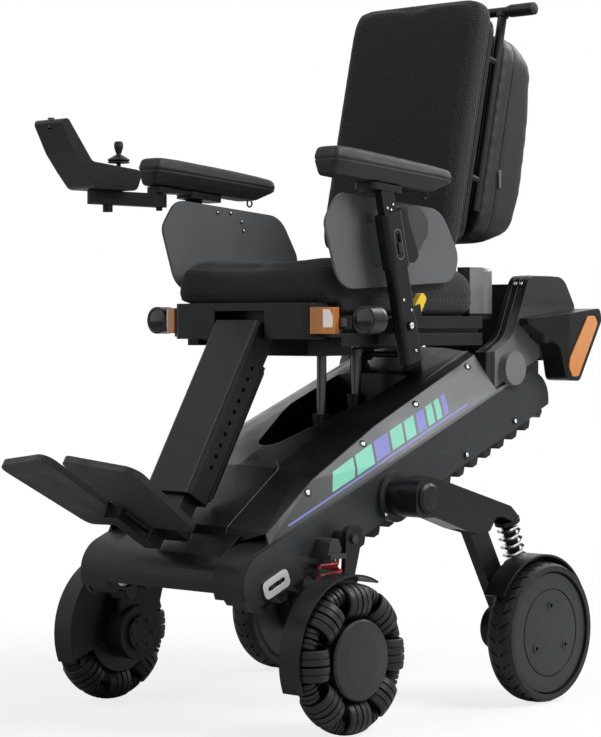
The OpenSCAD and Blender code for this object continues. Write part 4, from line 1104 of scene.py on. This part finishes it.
class CHAIR_OT_tensioners(Operator):
    """Bright belt tensioner plates at the front of the tracks."""

    bl_idname = "chair.tensioners"
    bl_label = "Tensioner plates"

    def execute(self, context):
        lift = 0.0006
        dx, dy = TENSIONER_MIDDLE
        outlines = [[(x + dx, y + dy) for x, y in rounded_box(*box)]
                    for box in (TENSIONER_OUTLINE, TENSIONER_SLOT)]
        turn = Matrix((ALONG, ACROSS, Vector((1, 0, 0)))).transposed().to_4x4()
        for side, sign in SIDES:
            face, _ = land("track_frames", on_track(*TENSIONER_SEAT, sign * OUTSIDE_X), (-sign, 0, 0))
            mesh = pierced_plate(f"tensioner_plate_{side}", outlines, 0.0004, 0.0003)
            mesh.transform(Matrix.Translation((face.x + sign * lift, IDLER.y, IDLER.z)) @ turn)
            link(f"tensioner_cover_{side}", mesh, "chassis", FINISH["satin_steel"])
        return {"FINISHED"}


class CHAIR_OT_lamps(Operator):
    """Headlamp lenses with their bezels, and the white blocks of the corner lamps."""

    bl_idname = "chair.lamps"
    bl_label = "Lamps"

    def execute(self, context):
        for side, sign in SIDES:
            self.headlamp(side, sign)
            self.corner_block(side, sign)
        return {"FINISHED"}

    def headlamp(self, side, sign):
        """Lens and bezel on the front of a headlamp's pod."""
        height, from_end, behind_pivot = 0.698, 0.025, 0.033
        lens_profile = [(0.0206, 0.0002), (0.0206, 0.002), (0.0195, 0.0034), (0.012, 0.0046), (0, 0.005)]
        bezel_profile = [(0.0211, 0.003), (0.0208, 0.0046), (0.0214, 0.0052), (0.0222, 0.0046)]
        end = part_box("front_bar")[1].x - from_end
        front = joint_place("legrest_swing").y + behind_pivot
        at = basis(Vector((sign * end, front, height)), (0, -1, 0))
        for name, profile, slot, finish in (
                ("headlamp_glass", lens_profile, "shell_black", "smoked_lens"),
                ("headlamp_bezel", bezel_profile, "bright_steel", "pale_line")):
            mesh = mesh_from(name, lambda bm: turned(bm, profile, at, 40))
            link(f"{name}_{side}", mesh, "seat", FINISH[finish])

    def corner_block(self, side, sign):
        """White block on the slanted face of a corner lamp."""
        outline = [(-0.0085, -0.012), (0.0085, -0.012), (0.0085, 0.008), (0.003, 0.019), (-0.0085, 0.019)]
        from_end, from_front = 0.009, 0.013
        facing = Vector((sign * 0.747, -0.664, 0))
        low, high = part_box("corner_lamps")
        spot = Vector((sign * (high.x - from_end), low.y + from_front, (low.z + high.z) / 2))
        place, normal = land("corner_lamps", spot + facing * 0.1, -facing)
        at = basis(place, normal)
        mesh = mesh_from("lamp_block", lambda bm: prism(bm, outline, at, 0.0008, 0.0004), False)
        link(f"lamp_block_{side}", mesh, "seat", FINISH["lamp_white"])


class CHAIR_OT_seams(Operator):
    """Fine seam lines on the rear hood and the body."""

    bl_idname = "chair.seams"
    bl_label = "Seam lines"

    def execute(self, context):
        r = sizes().seam
        for side, sign in SIDES:
            for k, x in enumerate((0.156, 0.17)):
                points = [land("rear_hood", (sign * x, y, ABOVE_Z), -UP)[0]
                          for y in np.linspace(0.352, 0.562, 40)]
                wire(f"hood_seam_{side}_{k}", points, r, "chassis", FINISH["pale_line"])
            points = []
            for share in np.linspace(0, 1, 30):
                # The rear end of the line bends in
                x = sign * (0.098 - 0.2 * max(0.0, share - 0.85))
                points.append(land("body_shell", on_track(0.035 + 0.19 * share, 0.5, x), -ACROSS)[0])
            wire(f"nose_seam_{side}", points, r, "chassis", FINISH["pale_line"])
        return {"FINISHED"}


class CHAIR_OT_grips(Operator):
    """Ribbed sleeves on the push bar's ends."""

    bl_idname = "chair.grips"
    bl_label = "Push bar grips"

    def execute(self, context):
        length, ribs, pitch = 0.058, 9, 0.0056
        profile = [(0.0112, 0)]
        for k in range(ribs):
            z = 0.003 + pitch * k
            profile += [(0.0118, z), (0.0124, z + 0.0014), (0.0124, z + 0.0028), (0.0118, z + 0.0042)]
        profile += [(0.0122, 0.0545), (0.0118, 0.0585), (0.0095, 0.0595), (0, 0.0598)]
        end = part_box("push_bar")[1].x
        for side, sign in SIDES:
            at = basis(in_back(sign * (end - length), 0.010, 0.5725), (sign, 0, 0))
            mesh = mesh_from("grip_sleeve", lambda bm: turned(bm, profile, at, 36))
            link(f"grip_sleeve_{side}", mesh, "back", FINISH["belt_rubber"])
        return {"FINISHED"}


class CHAIR_OT_control(Operator):
    """Display on the control box with its key row, and the port plates on the seat's front bar."""

    bl_idname = "chair.control"
    bl_label = "Control details"

    def execute(self, context):
        low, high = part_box("controller")
        behind = ((low.x + high.x) / 2, high.y - 0.02, high.z - 0.03)
        at = basis(*land("controller", behind, (0, -1, 0)))
        self.display(at)
        for side, sign in SIDES:
            self.port(side, sign)
        return {"FINISHED"}

    def display(self, at):
        """Dark screen and three keys under it, on the face that the sitter sees."""

        def screen(bm):
            spot = at @ Matrix.Translation((0, -0.006, 0))
            prism(bm, rounded_box(0.05, 0.048, 0.005), spot, 0.0012, 0.0006)

        def keys(bm):
            for x in (-0.017, 0, 0.017):
                spot = at @ Matrix.Translation((x, -0.037, 0))
                prism(bm, rounded_box(0.012, 0.006, 0.0025), spot, 0.0016, 0.0006)

        glass = mesh_from("display_glass", screen)
        link("display_glass", glass, "control", FINISH["display_black"])
        row = mesh_from("display_keys", keys)
        link("display_keys", row, "control", FINISH["button_grey"])

    def port(self, side, sign):
        """Small plate with a socket on the seat's front bar."""
        from_middle, height = 0.213, 0.694
        at = basis(*land("front_bar", (sign * from_middle, CAD_BOX[0].y, height), (0, 1, 0)))
        socket = [(0.0032, 0.001), (0.0028, 0.0018), (0.0016, 0.0018), (0.0014, 0.0011), (0, 0.0011)]

        def build(bm):
            prism(bm, rounded_box(0.015, 0.0145, 0.002), at, 0.001, 0.0004)
            turned(bm, socket, at, 20)

        mesh = mesh_from("port_plate", build)
        link(f"port_plate_{side}", mesh, "seat", FINISH["button_grey"])


# Studio


# Lamps: name, place, share of the set power, and size
LAMPS = (
    ("key_light", (2.6, 1.2, 3.2), 1.1, 1.8),
    ("fill_light", (-1.2, -3.0, 3.4), 0.35, 1.6),
    ("rim_light", (0.4, 3.4, 2.8), 0.4, 1.6),
)


def aim(holder, place, target):
    """Puts a lamp or camera at a place, looking at a target."""
    bpy.context.scene.collection.objects.link(holder)
    holder.location = place
    holder.rotation_euler = (target - Vector(place)).to_track_quat("-Z", "Y").to_euler()


class CHAIR_OT_studio(Operator):
    """Pale floor, soft lights and the camera."""

    bl_idname = "chair.studio"
    bl_label = "Studio"

    def execute(self, context):
        scene = context.scene
        s = scene.studio
        scene.view_settings.view_transform = "Standard"
        self.room(scene, s.room)
        self.floor()
        target = Vector(s.camera_target)
        for name, place, share, size in LAMPS:
            self.lamp(name, place, target, s.key * share, size)
        camera = bpy.data.cameras.new("photo_camera")
        camera.sensor_width = 36
        camera.lens = s.lens
        holder = bpy.data.objects.new("photo_camera", camera)
        aim(holder, s.camera_place, target)
        scene.camera = holder
        return {"FINISHED"}

    def lamp(self, name, place, target, power, size):
        """A soft square lamp."""
        light = bpy.data.lights.new(name, "AREA")
        light.energy = power
        light.size = size
        aim(bpy.data.objects.new(name, light), place, target)

    def room(self, scene, strength):
        """Even light all round, plain white where the camera, a reflection or glass shows it."""
        world = bpy.data.worlds.new("studio_room")
        scene.world = world
        world.use_nodes = True
        tree = world.node_tree
        path = tree.nodes.new("ShaderNodeLightPath")
        seen = path.outputs["Is Camera Ray"]
        for kind in ("Is Glossy Ray", "Is Transmission Ray"):
            either = tree.nodes.new("ShaderNodeMath")
            either.operation = "MAXIMUM"
            tree.links.new(seen, either.inputs[0])
            tree.links.new(path.outputs[kind], either.inputs[1])
            seen = either.outputs[0]
        level = tree.nodes.new("ShaderNodeMapRange")
        level.inputs["To Min"].default_value = strength
        level.inputs["To Max"].default_value = 1.0
        tree.links.new(seen, level.inputs["Value"])
        sky = tree.nodes["Background"]
        sky.inputs["Color"].default_value = (1, 1, 1, 1)
        tree.links.new(level.outputs["Result"], sky.inputs["Strength"])

    def floor(self):
        """Pale floor that keeps the shadow and turns white away from the chair."""
        radius, below = 40, 0.0005
        shadow_end, white_from, glow_share = 0.65, 1.3, 0.8

        def build(bm):
            bmesh.ops.create_circle(bm, cap_ends=True, radius=radius, segments=64)

        mesh = mesh_from("studio_floor", build, False)
        piece = bpy.data.objects.new("studio_floor", mesh)
        bpy.context.scene.collection.objects.link(piece)
        piece.location.z = -below
        f = Finish("pale_floor", 0.9, gloss=0.5)
        f.set("Base Color", (0.9, 0.9, 0.9, 1))
        glow = f.tree.nodes.new("ShaderNodeEmission")
        glow.inputs["Color"].default_value = (1, 1, 1, 1)
        seen = f.tree.nodes.new("ShaderNodeLightPath").outputs["Is Camera Ray"]
        fade = f.span(f.vector("LENGTH", f.place), shadow_end, white_from, glow_share, 1.0)
        blend = f.tree.nodes.new("ShaderNodeMixShader")
        f.tree.links.new(f.math("MULTIPLY", seen, fade), blend.inputs[0])
        f.tree.links.new(f.shader.outputs[0], blend.inputs[1])
        f.tree.links.new(glow.outputs[0], blend.inputs[2])
        f.tree.links.new(blend.outputs[0], f.tree.nodes["Material Output"].inputs["Surface"])
        mesh.materials.append(f.material)


OPERATORS = (
    CHAIR_OT_finishes,
    CHAIR_OT_seat_cushion,
    CHAIR_OT_back_cushion,
    CHAIR_OT_arm_pads,
    CHAIR_OT_storage_case,
    CHAIR_OT_fasteners,
    CHAIR_OT_tensioners,
    CHAIR_OT_lamps,
    CHAIR_OT_seams,
    CHAIR_OT_grips,
    CHAIR_OT_control,
    CHAIR_OT_studio,
)


class CHAIR_PT_panel(Panel):
    """Lists the steps that dress the wheelchair."""

    bl_idname = "CHAIR_PT_panel"
    bl_label = "Stair climbing wheelchair"
    bl_space_type = "VIEW_3D"
    bl_region_type = "UI"
    bl_category = "Wheelchair"

    def draw(self, context):
        column = self.layout.column()
        for operator in OPERATORS:
            column.operator(operator.bl_idname)


GROUPS = (ChairSizes, ChairColours, StudioSettings)


def register():
    for cls in (*GROUPS, *OPERATORS, CHAIR_PT_panel):
        bpy.utils.register_class(cls)
    bpy.types.Scene.chair_sizes = PointerProperty(type=ChairSizes)
    bpy.types.Scene.chair_colours = PointerProperty(type=ChairColours)
    bpy.types.Scene.studio = PointerProperty(type=StudioSettings)


def unregister():
    del bpy.types.Scene.studio
    del bpy.types.Scene.chair_colours
    del bpy.types.Scene.chair_sizes
    for cls in reversed((*GROUPS, *OPERATORS, CHAIR_PT_panel)):
        bpy.utils.unregister_class(cls)


def main():
    register()
    bpy.ops.chair.finishes()
    bpy.ops.chair.seat_cushion()
    bpy.ops.chair.back_cushion()
    bpy.ops.chair.arm_pads()
    bpy.ops.chair.storage_case()
    bpy.ops.chair.fasteners()
    bpy.ops.chair.tensioners()
    bpy.ops.chair.lamps()
    bpy.ops.chair.seams()
    bpy.ops.chair.grips()
    bpy.ops.chair.control()
    bpy.ops.chair.studio()


if __name__ == "__main__":
    main()
